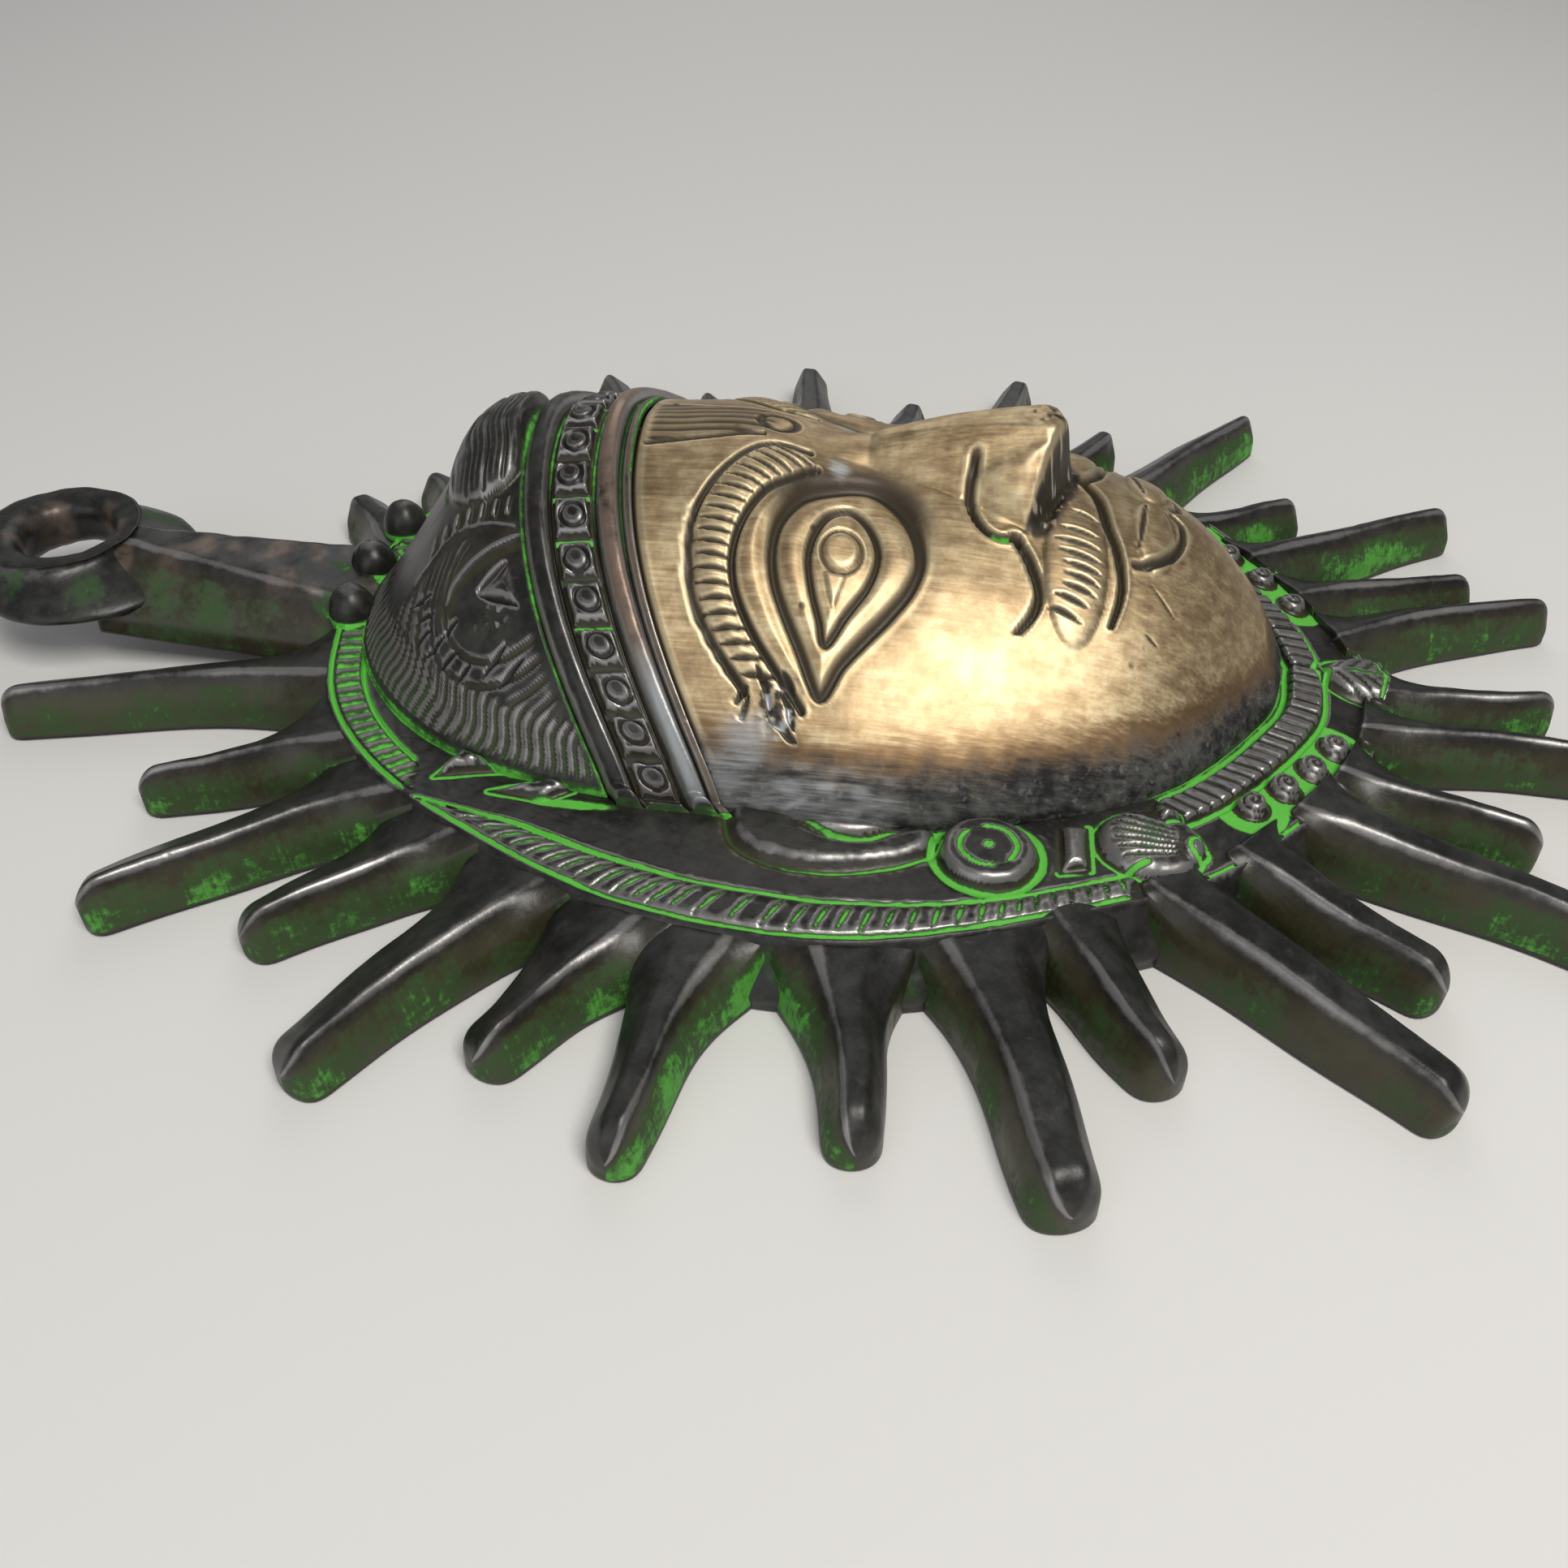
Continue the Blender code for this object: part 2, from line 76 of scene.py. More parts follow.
# Headband: distances below its drooping upper edge
BAND_CREST_Y = 33.0
BAND_DROOP = 15.4
BAND_HALF_SPAN = 38.0
BAND_WIDTH = 13.1
OUTER_ROLL = (0.0, 2.9)
TILES = (3.5, 8.1)
INNER_ROLL = (8.8, 11.5)
EDGE_STRIP = (11.9, 13.1)
TILE_PITCH = 5.45

# Carved lines of the left half of the face
BROW_TOP = ((-4.3, -1), (-4.2, 3.3), (-6.3, 6.7), (-10.3, 9.8), (-14.5, 11.4), (-18.4, 11.4), (-23, 10.2),
            (-26.9, 7.2), (-30.2, 3.4))
BROW_FOOT = ((-6.2, -2.1), (-8.5, 0.9), (-10.5, 3.3), (-13.4, 5.1), (-16.2, 6.1), (-19.1, 6.3), (-22, 5.5),
             (-24.9, 3.6), (-27.6, 1), (-31.3, -3.2))
EYE_SOCKET = ((-29.9, -5), (-27, -7.2), (-24.4, -9.6), (-21.7, -12.1), (-18.8, -14.2), (-15.5, -15.1),
              (-11.4, -14), (-8.3, -11.6), (-6.8, -8.4), (-7.8, -4.4), (-10.1, -0.7), (-13.6, 1.4),
              (-17.1, 1.9), (-20.2, 1.3), (-22.9, -0.1), (-26, -2.2))
EYE_OPENING = ((-25.6, -5.2), (-22.4, -7.4), (-19.2, -9.5), (-15.8, -10.2), (-12.9, -8.9), (-11.3, -6.6),
               (-12.2, -4.2), (-14.8, -2.7), (-17.6, -2.3), (-20.6, -3), (-23.4, -4.2))
NOSE_WING = ((-4.3, -20.5), (-6.8, -20.2), (-9.1, -20.9), (-10.8, -22.3), (-11.5, -24.2), (-11, -26))
WING_PAD = ((-5, -21.3), (-7.6, -21.6), (-9.3, -23.2), (-9.8, -25.4), (-8.8, -27), (-6.2, -28.4), (-3.5, -29.6))
CHEEK_CUT = ((-10.9, -25.7), (-12.8, -27.2), (-14.5, -28.1), (-16, -28.7), (-17.6, -28.9), (-19.3, -28.3),
             (-21.3, -26.8))
MOUTH = ((0, -33.6), (-2.4, -35.6), (-6.6, -36.8), (-9.3, -37.9), (-12.7, -38.6), (-15.3, -38.4), (-18.2, -37.5))
UNDER_LIP = ((-10.5, -40.2), (-10, -41.9), (-8.9, -43.6), (-6.6, -45.4), (-4, -46.4), (-1.8, -46.3), (-0.7, -45.2))
MOUSTACHE = (
    ((-6.1, -32), (-7.2, -35.9)), ((-8.9, -30.9), (-9.4, -35.7)), ((-10.5, -30.2), (-10.8, -35.8)),
    ((-11.8, -30.6), (-12.4, -36.3)), ((-13.2, -31.5), (-13.7, -36.2)), ((-14.4, -31.9), (-15, -35.9)),
    ((-15.6, -31.6), (-16.2, -35.4)), ((-16.8, -30.6), (-17.6, -34.7)), ((-18.2, -30), (-19.2, -33.8)),
)
PUPIL = (-16.4, -6.0)
NOSE_BRIDGE_Y = -8.0
NOSE_TIP_Y = -31.2
NOSE_RISE = 8.7
NOSE_UNDERCUT = 0.43
BROW_STROKES = 21

# Ornaments of the left half of the collar and the crown
EAR_ROLL = ((-36, 2.9), (-38.4, 4.2), (-42.6, 2.9), (-44.8, -0.5), (-45.7, -6), (-45, -11.4), (-43.2, -16.4),
            (-40.6, -19.6), (-37.8, -18.6), (-38.9, -14.7), (-40.4, -12), (-40.6, -8.3), (-39.4, -5.2),
            (-37.6, -3.4), (-35.5, -3.4))
EAR_LOBE = (-36.9, -8.6, 3.3, 6.0)
EARRING = (-41.1, -25.2, 5.6)
TRAPEZOID = ((-35.6, -33.2), (-43, -33.1), (-42.1, -36.5), (-35.3, -36.6))
SHELL = (-37.5, -43.3, 5.2, 5.9)
SHELL_LOOP = (-38.8, -48.4, 2.1)
ROPE_INNER = ((-39.9, 40.4), (-42.6, 28.5), (-44.9, 22), (-46.8, 16.1), (-48.4, 10), (-49.4, 4.3), (-50.3, -5),
              (-50.1, -12), (-49.3, -19.1), (-47.7, -26.1), (-45.8, -31.5), (-43.6, -37), (-41.4, -42.5))
ROPE_STROKES = 34
NECKLACE = (1.3, 5.9)
NECKLACE_TOP_Y = -44.5
NECKLACE_TICK = 1.75
STUDS = ((-29.4, -55.6), (-25.4, -60.1), (-20.8, -64.3), (-15.6, -68))
STUD_RADIUS = 2.2
BEADS = ((-5.6, 59.9), (5.4, 60.7), (16.4, 59.8))
BEAD_RADIUS = 3.2
BEAD_TOP = 12.9
KNOB = (0, 37.8, 11.5, 6.8, 3.2)
LEAF_ARC = ((-20.7, 40.4), (-19.4, 39.6), (-18, 37.6), (-17.1, 35.5), (-16.6, 33.5), (-16.3, 32))
LEAF_STRAND = ((-14.5, 46.3), (-14.4, 44.3), (-13.7, 42.1), (-13.9, 39), (-14.3, 36.1), (-15.2, 32.7))
LEAF_FACET = ((-18.8, 32.5), (-21.2, 35.8), (-23, 30.8))
LEAF_CUTS = (((-21.2, 36.2), (-23, 30.8)), ((-18.6, 32.9), (-21, 36.2)))
LEAF_STROKES = (((-19.8, 45), (-20.6, 42.1)), ((-22.2, 44.7), (-21.8, 42.2)), ((-24.4, 42.8), (-23.6, 40.1)),
                ((-26.2, 40.4), (-25.4, 38)), ((-27.9, 37.7), (-27, 36.1)), ((-28.5, 34.5), (-26.1, 31.6)),
                ((-29.6, 32.4), (-27.4, 29.2)), ((-17.4, 46.2), (-18.2, 43)), ((-23.6, 40.4), (-22.8, 38.4)))
BAND_LEAF = ((-31.5, 36.9), (-36.4, 39.2), (-34.3, 31), (-34, 25), (-32.3, 29.5))
BAND_TRIANGLE = ((-38, 32.3), (-38.9, 25.5), (-36.8, 22.6), (-35.1, 24.6))
PENDANT = (0, -75.5, 5.8, 7.2)

# Rays: tip (x, y), ridge's shift to the viewer's side, half share of flat top, bow in mm, tip width, paint
RAYS = (
    (-24.5, 101.2, 0.35, 0.08, -0.8, 7.0, 0.50), (-37.5, 76.5, 0.30, 0.10, 0.4, 4.6, 0.55),
    (-56.3, 74.7, 0.40, 0.08, -0.5, 6.6, 0.62), (-58.3, 55.2, 0.40, 0.08, 0.4, 6.2, 0.62),
    (-75.2, 43.8, 0.35, 0.10, -0.6, 7.2, 0.56), (-71.2, 25.4, 0.30, 0.12, 0.4, 6.0, 0.80),
    (-81.2, 9.7, 0.10, 0.34, -0.4, 5.2, 0.82), (-77.2, -13.6, 0.0, 0.36, 0.2, 5.4, 0.62),
    (-81.4, -33.7, 0.05, 0.50, 0.4, 7.2, 0.36), (-65.2, -44.4, 0.15, 0.26, -0.3, 6.0, 0.40),
    (-65.1, -72.5, 0.20, 0.40, 0.5, 7.4, 0.32), (-49.8, -74.6, 0.15, 0.35, -0.3, 6.4, 0.36),
    (-40.8, -95.5, 0.20, 0.35, 0.5, 6.6, 0.50), (-25.4, -91.5, 0.2, 0.15, -0.5, 6.0, 0.55),
    (-10, -106.2, 0.2, 0.12, 0.8, 5.6, 0.45), (1, -100.4, 0.2, 0.14, -1.0, 5.6, 0.60),
    (23.8, -106.2, 0.2, 0.12, 1.8, 5.6, 0.60), (28.3, -96.5, 0.1, 0.12, 0.8, 6.0, 0.66),
    (47.7, -97.5, 0.1, 0.14, 0.5, 6.0, 0.70), (47.8, -74.2, 0.1, 0.14, -0.4, 6.0, 0.72),
    (76.5, -70.6, 0.2, 0.14, 0.4, 6.0, 0.74), (66.8, -45.8, 0.2, 0.25, -0.3, 6.0, 0.66),
    (84.2, -31.6, 0.1, 0.35, 0.4, 6.0, 0.60), (72.8, -13, 0.1, 0.3, 0.3, 6.0, 0.60),
    (83.8, 6.5, 0.1, 0.35, -0.4, 6.0, 0.60), (71.7, 24, 0.2, 0.14, 0.4, 6.0, 0.60),
    (76.5, 42.8, 0.2, 0.12, 0.5, 6.0, 0.60), (59.7, 54.8, 0.2, 0.14, -0.5, 6.0, 0.55),
    (52.7, 59.8, 0.2, 0.12, 0.4, 6.0, 0.50), (37.8, 63.2, 0.2, 0.14, -0.3, 6.6, 0.45),
    (29.4, 72.2, 0.2, 0.3, 0.3, 7.0, 0.45),
)
RAY_ROOTS = (166.5, 154, 143, 132, 117.5, 105, 95, 79.5, 64, 53.5, 42.5, 32, 22.5, 15, 7.5, 0)
RAY_ROOT_WIDTH = 11.6
RAY_ROOT_FLARE = 3.2
RAY_ROOT_DEPTH = 2.3
RAY_TIP_THICKNESS = 7.1

# Ring and stem
RING_CENTRE_Y = 101.5
RING_BORE = 12.0
RING_SECTION = 7.2
RING_LIFT = 8.1
RING_FLANK_SLOPE = 7.6
STEM_FOOT_Y = 58.2
STEM_HEAD_Y = 93.5
STEM_HALF_WIDTH = 11.5
STEM_THICKNESS = 9.2
STEM_FOOT_SHIFT = 3.2
STEM_RISE = 6.0
STEM_TOP_SHARES = (0.62, 0.12)
# Marks read by the finish: green paint; dark cuts, with painted shade spreading beside some of them; silvery rubbing,
# with painted highlights and glints in places; crests, lightened as rubbing and as painted highlights; rubbed brass;
# olive dirt
MARKS = ("green", "groove_and_shade", "brass", "silver_and_highlight", "crest_and_highlight", "olive")


def smooth_curve(points, steps=6, closed=False):
    """Catmull-Rom curve through the points, with the given steps between each two."""
    known = np.array(points, float)
    if closed:
        ends = np.vstack([known[-1], known, known[0], known[1]])
    else:
        ends = np.vstack([2 * known[0] - known[1], known, 2 * known[-1] - known[-2]])
    a, b, c, d = (part[:, None, :] for part in (ends[:-3], ends[1:-2], ends[2:-1], ends[3:]))
    u = (np.arange(steps) / steps)[None, :, None]
    curve = 2 * b + (c - a) * u + (2 * a - 5 * b + 4 * c - d) * u**2 + (3 * b - a - 3 * c + d) * u**3
    last = known[0] if closed else known[-1]
    return np.vstack([curve.reshape(-1, known.shape[1]) / 2, last])


def ease(value, start, end):
    """0 before start, 1 after end, and a smooth step between them."""
    t = np.clip((value - start) / (end - start), 0, 1)
    return t * t * (3 - 2 * t)


def unevenness(x, y, size, seed=0.0):
    """Hand-made unevenness from -1 to 1: the mean of five sine waves about size long, each turned further."""
    total = 0
    for number in range(5):
        turn = seed + number * 2.4
        run = x * math.cos(turn) + y * math.sin(turn)
        wave = 2 * math.pi / (size * (0.7 + 0.22 * number))
        total = total + np.sin(run * wave + 1.7 * number + seed * 3 + np.sin(run * wave * 0.37 + turn))
    return total / 5


def nearest(x, y, curve):
    """Distance of every point from a chain of straight steps, and the share of the chain's length there."""
    best = np.full(np.shape(x), np.inf)
    share = np.zeros(np.shape(x))
    lengths = np.hypot(*np.diff(curve, axis=0).T)
    before = np.concatenate([[0], np.cumsum(lengths)])
    for number, (start, end) in enumerate(zip(curve[:-1], curve[1:])):
        run = end - start
        along = np.clip(((x - start[0]) * run[0] + (y - start[1]) * run[1]) / (run @ run), 0, 1)
        distance = np.hypot(x - start[0] - along * run[0], y - start[1] - along * run[1])
        closer = distance < best
        best = np.where(closer, distance, best)
        share = np.where(closer, (before[number] + along * lengths[number]) / before[-1], share)
    return best, share


def inside(x, y, curve):
    """True for every point that a closed chain of steps goes round, by counting the steps it crosses."""
    odd = np.zeros(np.shape(x), bool)
    for start, end in zip(curve[:-1], curve[1:]):
        crosses = (start[1] > y) != (end[1] > y)
        rise = end[1] - start[1]
        at = start[0] + (y - start[1]) * (end[0] - start[0]) / (rise if rise else 1e-9)
        odd ^= crosses & (x < at)
    return odd


def radius_of(half_outline):
    """Radius of a mirrored outline as a function of the angle from straight down."""
    half = smooth_curve(half_outline, 12)
    whole = np.vstack([half, (half * (-1, 1))[::-1][1:-1]])
    angle = np.arctan2(whole[:, 0], -whole[:, 1])
    order = np.argsort(angle)
    reach = np.hypot(whole[:, 0], whole[:, 1])[order]
    return lambda at: np.interp(at, angle[order], reach, period=2 * math.pi)


head_radius = radius_of(HEAD_OUTLINE)
plate_radius = radius_of(PLATE_OUTLINE)


def head_half_width(y):
    """Half the head's width at the height y of its outline."""
    outline = smooth_curve(HEAD_OUTLINE, 12)[::-1]
    return np.interp(y, outline[:, 1], -outline[:, 0], left=0, right=0)


def head_dome(x, y, shrink=0.0):
    """Middle profile times a rounded cross-section: (1 - share to the 1.65) to the 0.8."""
    profile = smooth_curve(HEAD_PROFILE, 12)[::-1]
    reach_y = HEAD_TOP_Y - HEAD_FOOT_Y
    y = y * reach_y / (reach_y - 2 * shrink)
    half_width = np.maximum(head_half_width(y) - shrink, 0.01)
    middle = np.interp(y, profile[:, 0], profile[:, 1], left=HEAD_BASE, right=HEAD_BASE)
    share = np.clip(np.abs(x) / half_width, 0, 1)
    return (middle - HEAD_BASE) * (1 - share**SECTION_SHARPNESS) ** SECTION_FULLNESS


def band_edge(x):
    """Height y of the headband's upper edge, which droops to the sides."""
    return BAND_CREST_Y - BAND_DROOP * (np.abs(x) / BAND_HALF_SPAN) ** 2.5


def plate_height(y):
    """The plate is level round the face and thins below the chin."""
    return PLATE_THICKNESS - PLATE_DROP_BELOW_CHIN * ease(-y, 55, 80)


class Relief:
    """Carving on many plan points: how far each rises, and the marks that its finish reads."""

    def __init__(self, x, y):
        self.x, self.y, self.left = x, y, -np.abs(x)
        self.rise = np.zeros(np.shape(x))
        self.marks = {name: np.zeros(np.shape(x)) for name in MARKS}

    def mark(self, name, amount):
        self.marks[name] = np.maximum(self.marks[name], amount)

    def distance(self, points, closed=False):
        """Distance to a mirrored curve and the share along it."""
        return nearest(self.left, self.y, smooth_curve(points, 6, closed))

    def depth_in(self, points, smooth=True):
        """Distance inside a mirrored closed outline, negative outside it."""
        steps = smooth_curve(points, 6, True) if smooth else np.vstack([points, points[0]]).astype(float)
        distance = nearest(self.left, self.y, steps)[0]
        return np.where(inside(self.left, self.y, steps), distance, -distance)

    def furrow(self, distance, half, depth, green=0.0, dark=1.0):
        """Flat-bottomed cut with soft walls and a thin raised lip on each side."""
        lip = np.exp(-(((distance - half * 1.35) / (half * 0.35)) ** 2))
        self.rise += depth * (0.12 * lip - 1 + ease(distance, half * 0.3, half))
        shade = 1.25 - distance / (half * 1.15)
        self.mark("groove_and_shade", np.clip(shade * dark, 0, 1))
        self.mark("green", np.clip((shade + 0.15) * green, 0, 1))

    def painted_line(self, distance, half=0.3, depth=0.35, paint=1.0):
        """A narrow cut that holds green paint."""
        self.furrow(distance, half, depth, dark=0.25)
        self.mark("green", paint * np.clip(1.4 - distance / (half * 1.25), 0, 1))

    def gashes(self, starts, ends, half, depth, green=0.0, dark=1.0):
        """Lens-shaped strokes, each between a start and an end, widest at the middle."""
        lean = np.full(np.shape(self.x), np.inf)
        for start, end in zip(np.array(starts, float), np.array(ends, float)):
            run = end - start
            along = np.clip(((self.left - start[0]) * run[0] + (self.y - start[1]) * run[1]) / (run @ run), 0, 1)
            gap = np.hypot(self.left - start[0] - along * run[0], self.y - start[1] - along * run[1])
            lean = np.minimum(lean, gap / (1.15 - (2 * along - 1) ** 2))
        self.furrow(lean, half, depth, green, dark)

    def pad(self, depth_inside, rise, shoulder):
        """Raised area with rounded shoulders: rise times one minus a bell of the distance inside its edge."""
        self.rise += np.where(depth_inside > 0, rise * (1 - np.exp(-((depth_inside / shoulder) ** 2))), 0)

    def boss(self, place, rise):
        """Domed oval: rise times the square root of 1 - r to the fourth."""
        middle_x, middle_y, half_x, half_y = place
        share = ((self.left - middle_x) / half_x) ** 2 + ((self.y - middle_y) / half_y) ** 2
        self.rise += rise * np.clip(1 - share**2, 0, 1) ** 0.5
        return share


def nose(x, y):
    """A roof with a flat ridge that widens towards its tip, cut off on a slant underneath."""
    along = np.clip((NOSE_BRIDGE_Y - y) / (NOSE_BRIDGE_Y - NOSE_TIP_Y), 0, 1)
    half = 3.2 + 7.6 * along**1.2
    flat = 0.4 + 2.2 * along
    side = np.sqrt(np.maximum(np.abs(x) - flat, 0) ** 2 + 0.6**2) - 0.6
    ridge = np.clip(1 - side / (half - flat), 0, 1) ** 0.85
    height = 1.6 + (NOSE_RISE - 1.6) * along**0.8 - 0.9 * ease(along, 0.86, 1.0)
    under = y - (NOSE_TIP_Y + NOSE_UNDERCUT * np.abs(x))
    return height * ridge * ease(-y, 2, 10) * ease(under, -1.6, 0.7)


def brow_strokes():
    """Hatching of the brow: long and slanting near the nose, short and square to the band at its end."""
    top = smooth_curve(BROW_TOP, 12)
    foot = smooth_curve(BROW_FOOT, 12)
    share = np.linspace(0.14, 0.95, BROW_STROKES)
    foot_share = np.clip(share - 0.17 * (1 - share) ** 0.8, 0, 1)
    top_points = np.stack([np.interp(share, np.linspace(0, 1, len(top)), top[:, k]) for k in (0, 1)], 1)
    foot_points = np.stack([np.interp(foot_share, np.linspace(0, 1, len(foot)), foot[:, k]) for k in (0, 1)], 1)
    run = foot_points - top_points
    return top_points + run * 0.10, foot_points - run * 0.06


def carve_brow(r):
    """Brow band between two furrows, hatched, with a smooth lid band under it."""
    band = np.array(BROW_TOP + BROW_FOOT[::-1])
    r.pad(r.depth_in(band), 0.4, 1.2)
    lid = np.array(BROW_FOOT + ((-29.4, -4.6), (-26, -2.0), (-22.9, 0.1), (-17.1, 2.1), (-13.6, 1.6), (-10.1, -0.5)))
    r.pad(r.depth_in(lid), 0.7, 1.4)
    r.gashes(*brow_strokes(), 0.27, 0.42, dark=0.85)
    distance, share = r.distance(BROW_TOP)
    r.furrow(distance, 0.5, 0.75)
    r.mark("olive", (1 - ease(distance, 0.1, 0.5)) * ease(share, 0.35, 0.45) * (1 - ease(share, 0.75, 0.85)))
    distance, share = r.distance(BROW_FOOT)
    r.furrow(distance, 0.5, 0.75)


def carve_eye(r):
    """Soft dark socket with painted shade spreading from it beside the nose, raised rim, inner cut, then the
    drop-shaped eye with its pupil disc and small facet.
    """
    socket = r.depth_in(EYE_SOCKET)
    near_nose = ease(r.left, -17, -8)
    half = 0.7 + 0.5 * near_nose + 0.15 * ease(-r.y, 6, 12)
    r.rise -= 0.9 * np.exp(-((np.abs(socket) / 2.4) ** 2)) * (0.3 + 0.7 * near_nose)
    r.furrow(np.abs(socket), half, 0.85, dark=0.8)
    # Painted shade: the dark mark spreads past the socket's cut onto the cheek, widest and darkest by the nose
    halo = np.exp(-(((socket + 0.9 * near_nose) / (1.5 + 1.2 * near_nose)) ** 2))
    r.mark("groove_and_shade", (0.26 + 0.42 * near_nose) * halo)
    # Painted highlight: a pale silvery patch by the bridge, where light glances off the smooth brass
    wear_and_sheen = np.exp(-(np.hypot((r.left + 5.0) / 1.7, (r.y + 4.6) / 1.7) ** 2))
    r.mark("silver_and_highlight", 0.75 * wear_and_sheen)
    opening = r.depth_in(EYE_OPENING)
    r.pad(np.minimum(socket - half * 0.8, -opening), 0.5, 0.9)
    r.furrow(np.abs(opening), 0.5, 0.6, dark=0.85)
    r.mark("groove_and_shade", 0.3 * np.exp(-((opening / 1.0) ** 2)))
    r.pad(opening - 0.3, 0.4, 0.8)
    from_pupil = np.hypot(r.left - PUPIL[0], r.y - PUPIL[1])
    r.furrow(np.abs(from_pupil - 2.35), 0.3, 0.3, dark=0.55)
    r.rise += 0.35 * (1 - ease(from_pupil, 1.5, 2.2))
    facet = (-19.0 - r.left) / 3.6
    across = np.abs(r.y + 5.6) / (1.5 * np.clip(1 - facet, 0.01, 1))
    r.rise += 0.35 * (1 - ease(across, 0.6, 1)) * ease(facet, 0, 0.08) * (1 - ease(facet, 0.9, 1))
    # Painted shade darkening the soft hollow between the eye and the nose
    corner = np.hypot((r.left + 6.6) / 3.4, (r.y + 8.6) / 5.2)
    r.mark("groove_and_shade", 0.5 * np.exp(-(corner**2)))


def carve_outer_corner(r):
    """Rough crossed cuts, a dark torn patch and bright rubbed metal where brow and lid run out."""
    starts = ((-28.0, 2.4), (-29.0, 1.2), (-30.0, -0.6), (-31.2, -1.6), (-28.4, -0.8), (-30.4, 2.8), (-32.2, 0.4),
              (-29.6, 3.0), (-33.0, -1.0))
    ends = ((-30.6, 0.6), (-32.0, 0.2), (-31.8, -2.6), (-33, -2.6), (-30.2, -2.4), (-32.6, 3.6), (-33.0, -2.2),
            (-31.2, 4.4), (-33.8, -3.0))
    r.gashes(starts, ends, 0.34, 0.5)
    torn = np.exp(-(np.hypot((r.left + 31.3) / 2.4, (r.y + 0.3) / 2.6) ** 4))
    scales = unevenness(r.x, r.y, 1.3, 0.4)
    r.rise += 0.24 * torn * scales
    r.mark("groove_and_shade", 0.9 * torn * ease(scales, -0.15, 0.25))
    r.mark("silver_and_highlight", 0.95 * torn * ease(-scales, 0.05, 0.35))
    wear_and_sheen = np.exp(-(np.hypot((r.left + 33.6) / 3.0, (r.y - 2.6) / 5.0) ** 2))
    r.rise += 0.08 * wear_and_sheen * unevenness(r.x, r.y, 1.0, 3.3)
    r.mark("silver_and_highlight", 0.62 * wear_and_sheen)


def carve_nose(r):
    """Wing pad behind its cut, rubbed tip, and the rough underside, darkened partly as unrubbed patina and partly by
    painted shade, and flecked with painted glints.
    """
    r.pad(r.depth_in(WING_PAD), 0.8, 1.3)
    distance, share = r.distance(NOSE_WING)
    r.furrow(distance, 0.6, 1.2)
    r.mark("green", np.clip(1.3 - distance / 0.7, 0, 1) * ease(share, 0.62, 0.72) * (1 - ease(share, 0.95, 1)))
    under = r.y - (NOSE_TIP_Y + NOSE_UNDERCUT * np.abs(r.x))
    # The nose's downward-facing underside: rough, darkened partly as unrubbed patina and partly by painted shade, with
    # painted glints scattered over it
    below = np.exp(-((under + 1.2) / 2.0) ** 2) * (1 - ease(np.abs(r.x), 9.0, 11.5))
    rough = unevenness(r.x, r.y, 1.5, 2.1)
    r.rise += 0.3 * below * rough
    r.mark("groove_and_shade", np.clip(1.2 * below, 0, 1) * (1 - ease(under, -0.2, 0.7)) * (1 - 0.7 * ease(rough, 0.25, 0.5)))
    r.mark("silver_and_highlight", 0.75 * below * ease(rough, 0.3, 0.55) * (1 - ease(under, -0.4, 0.2)))
    tip = np.exp(-((np.hypot(r.x / 2.4, (r.y + 28.5) / 2.6)) ** 2)) * ease(under, -0.2, 0.6)
    r.rise -= 0.25 * tip * (1 + unevenness(r.x, r.y, 1.6, 0.9))
    r.mark("groove_and_shade", tip * ease(unevenness(r.x, r.y, 1.9, 5.1), -0.05, 0.35))


def carve_mouth(r):
    """Cheek cut, moustache strokes on a raised lip, wavy mouth and the curled lower lip."""
    distance, share = r.distance(CHEEK_CUT)
    r.furrow(distance, 0.72 - 0.35 * share**3, 1.0, dark=0.9)
    r.boss((-12.5, -33, 9, 3.7), 0.8)
    starts, ends = zip(*MOUSTACHE)
    r.gashes(starts, ends, 0.32, 0.5, dark=0.9)
    distance, share = r.distance(MOUTH)
    r.furrow(distance, 0.85 - 0.5 * share**2, 1.3, dark=0.85)
    r.mark("groove_and_shade", 0.4 * np.exp(-((distance / 1.6) ** 2)) * (1 - ease(share, 0.6, 0.9)))
    lips = np.exp(-(np.hypot((r.left + 4) / 7.5, (r.y + 38.5) / 6.5) ** 4))
    r.mark("groove_and_shade", 0.34 * lips)
    r.boss((-5.4, -42.6, 5.2, 2.6), 0.7)
    distance, share = r.distance(UNDER_LIP)
    r.furrow(distance, 0.6, 0.7, dark=0.85)
    r.gashes(((-1.4, -41.6),), ((-8.3, -40.6),), 0.35, 0.3, dark=0.8)
    r.gashes(((-12.2, -42.2), (-17.5, -41.5)), ((-14.8, -45.4), (-18.3, -43.4)), 0.2, 0.16, dark=0.7)


def carve_tilak(r):
    """Long forehead mark: a tapering patch of lengthwise strokes that ends in a small loop between the brows."""
    down = (18.5 - r.y) / 15.5
    half = 4.9 - 2.4 * np.clip(down, 0, 1)
    shape = (1 - ease(np.abs(r.x), half - 0.5, half + 0.3)) * ease(down, -0.05, 0.05) * (1 - ease(down, 0.9, 1.05))
    lines = np.cos(r.x * 2 * math.pi / 1.35 + 0.8 * np.sin(r.y * 0.45))
    r.rise += shape * (0.1 - 0.24 * np.clip(lines, 0, 1) * (0.6 + 0.4 * unevenness(r.x * 3, r.y, 6.0)))
    r.mark("olive", 0.8 * shape)
    r.mark("groove_and_shade", shape * (0.25 + 0.55 * np.clip(lines, 0, 1)))
    edge = np.abs(np.abs(r.x) - half) + 4 * ease(down, 0.9, 1.0) + 4 * (1 - ease(down, -0.1, 0))
    r.furrow(edge, 0.45, 0.3, green=0.34, dark=0.7)
    loop = np.abs(np.hypot(r.x / 1.6, (r.y - 3.2) / 2.2) - 1)
    r.furrow(loop, 0.3, 0.3, dark=0.8)


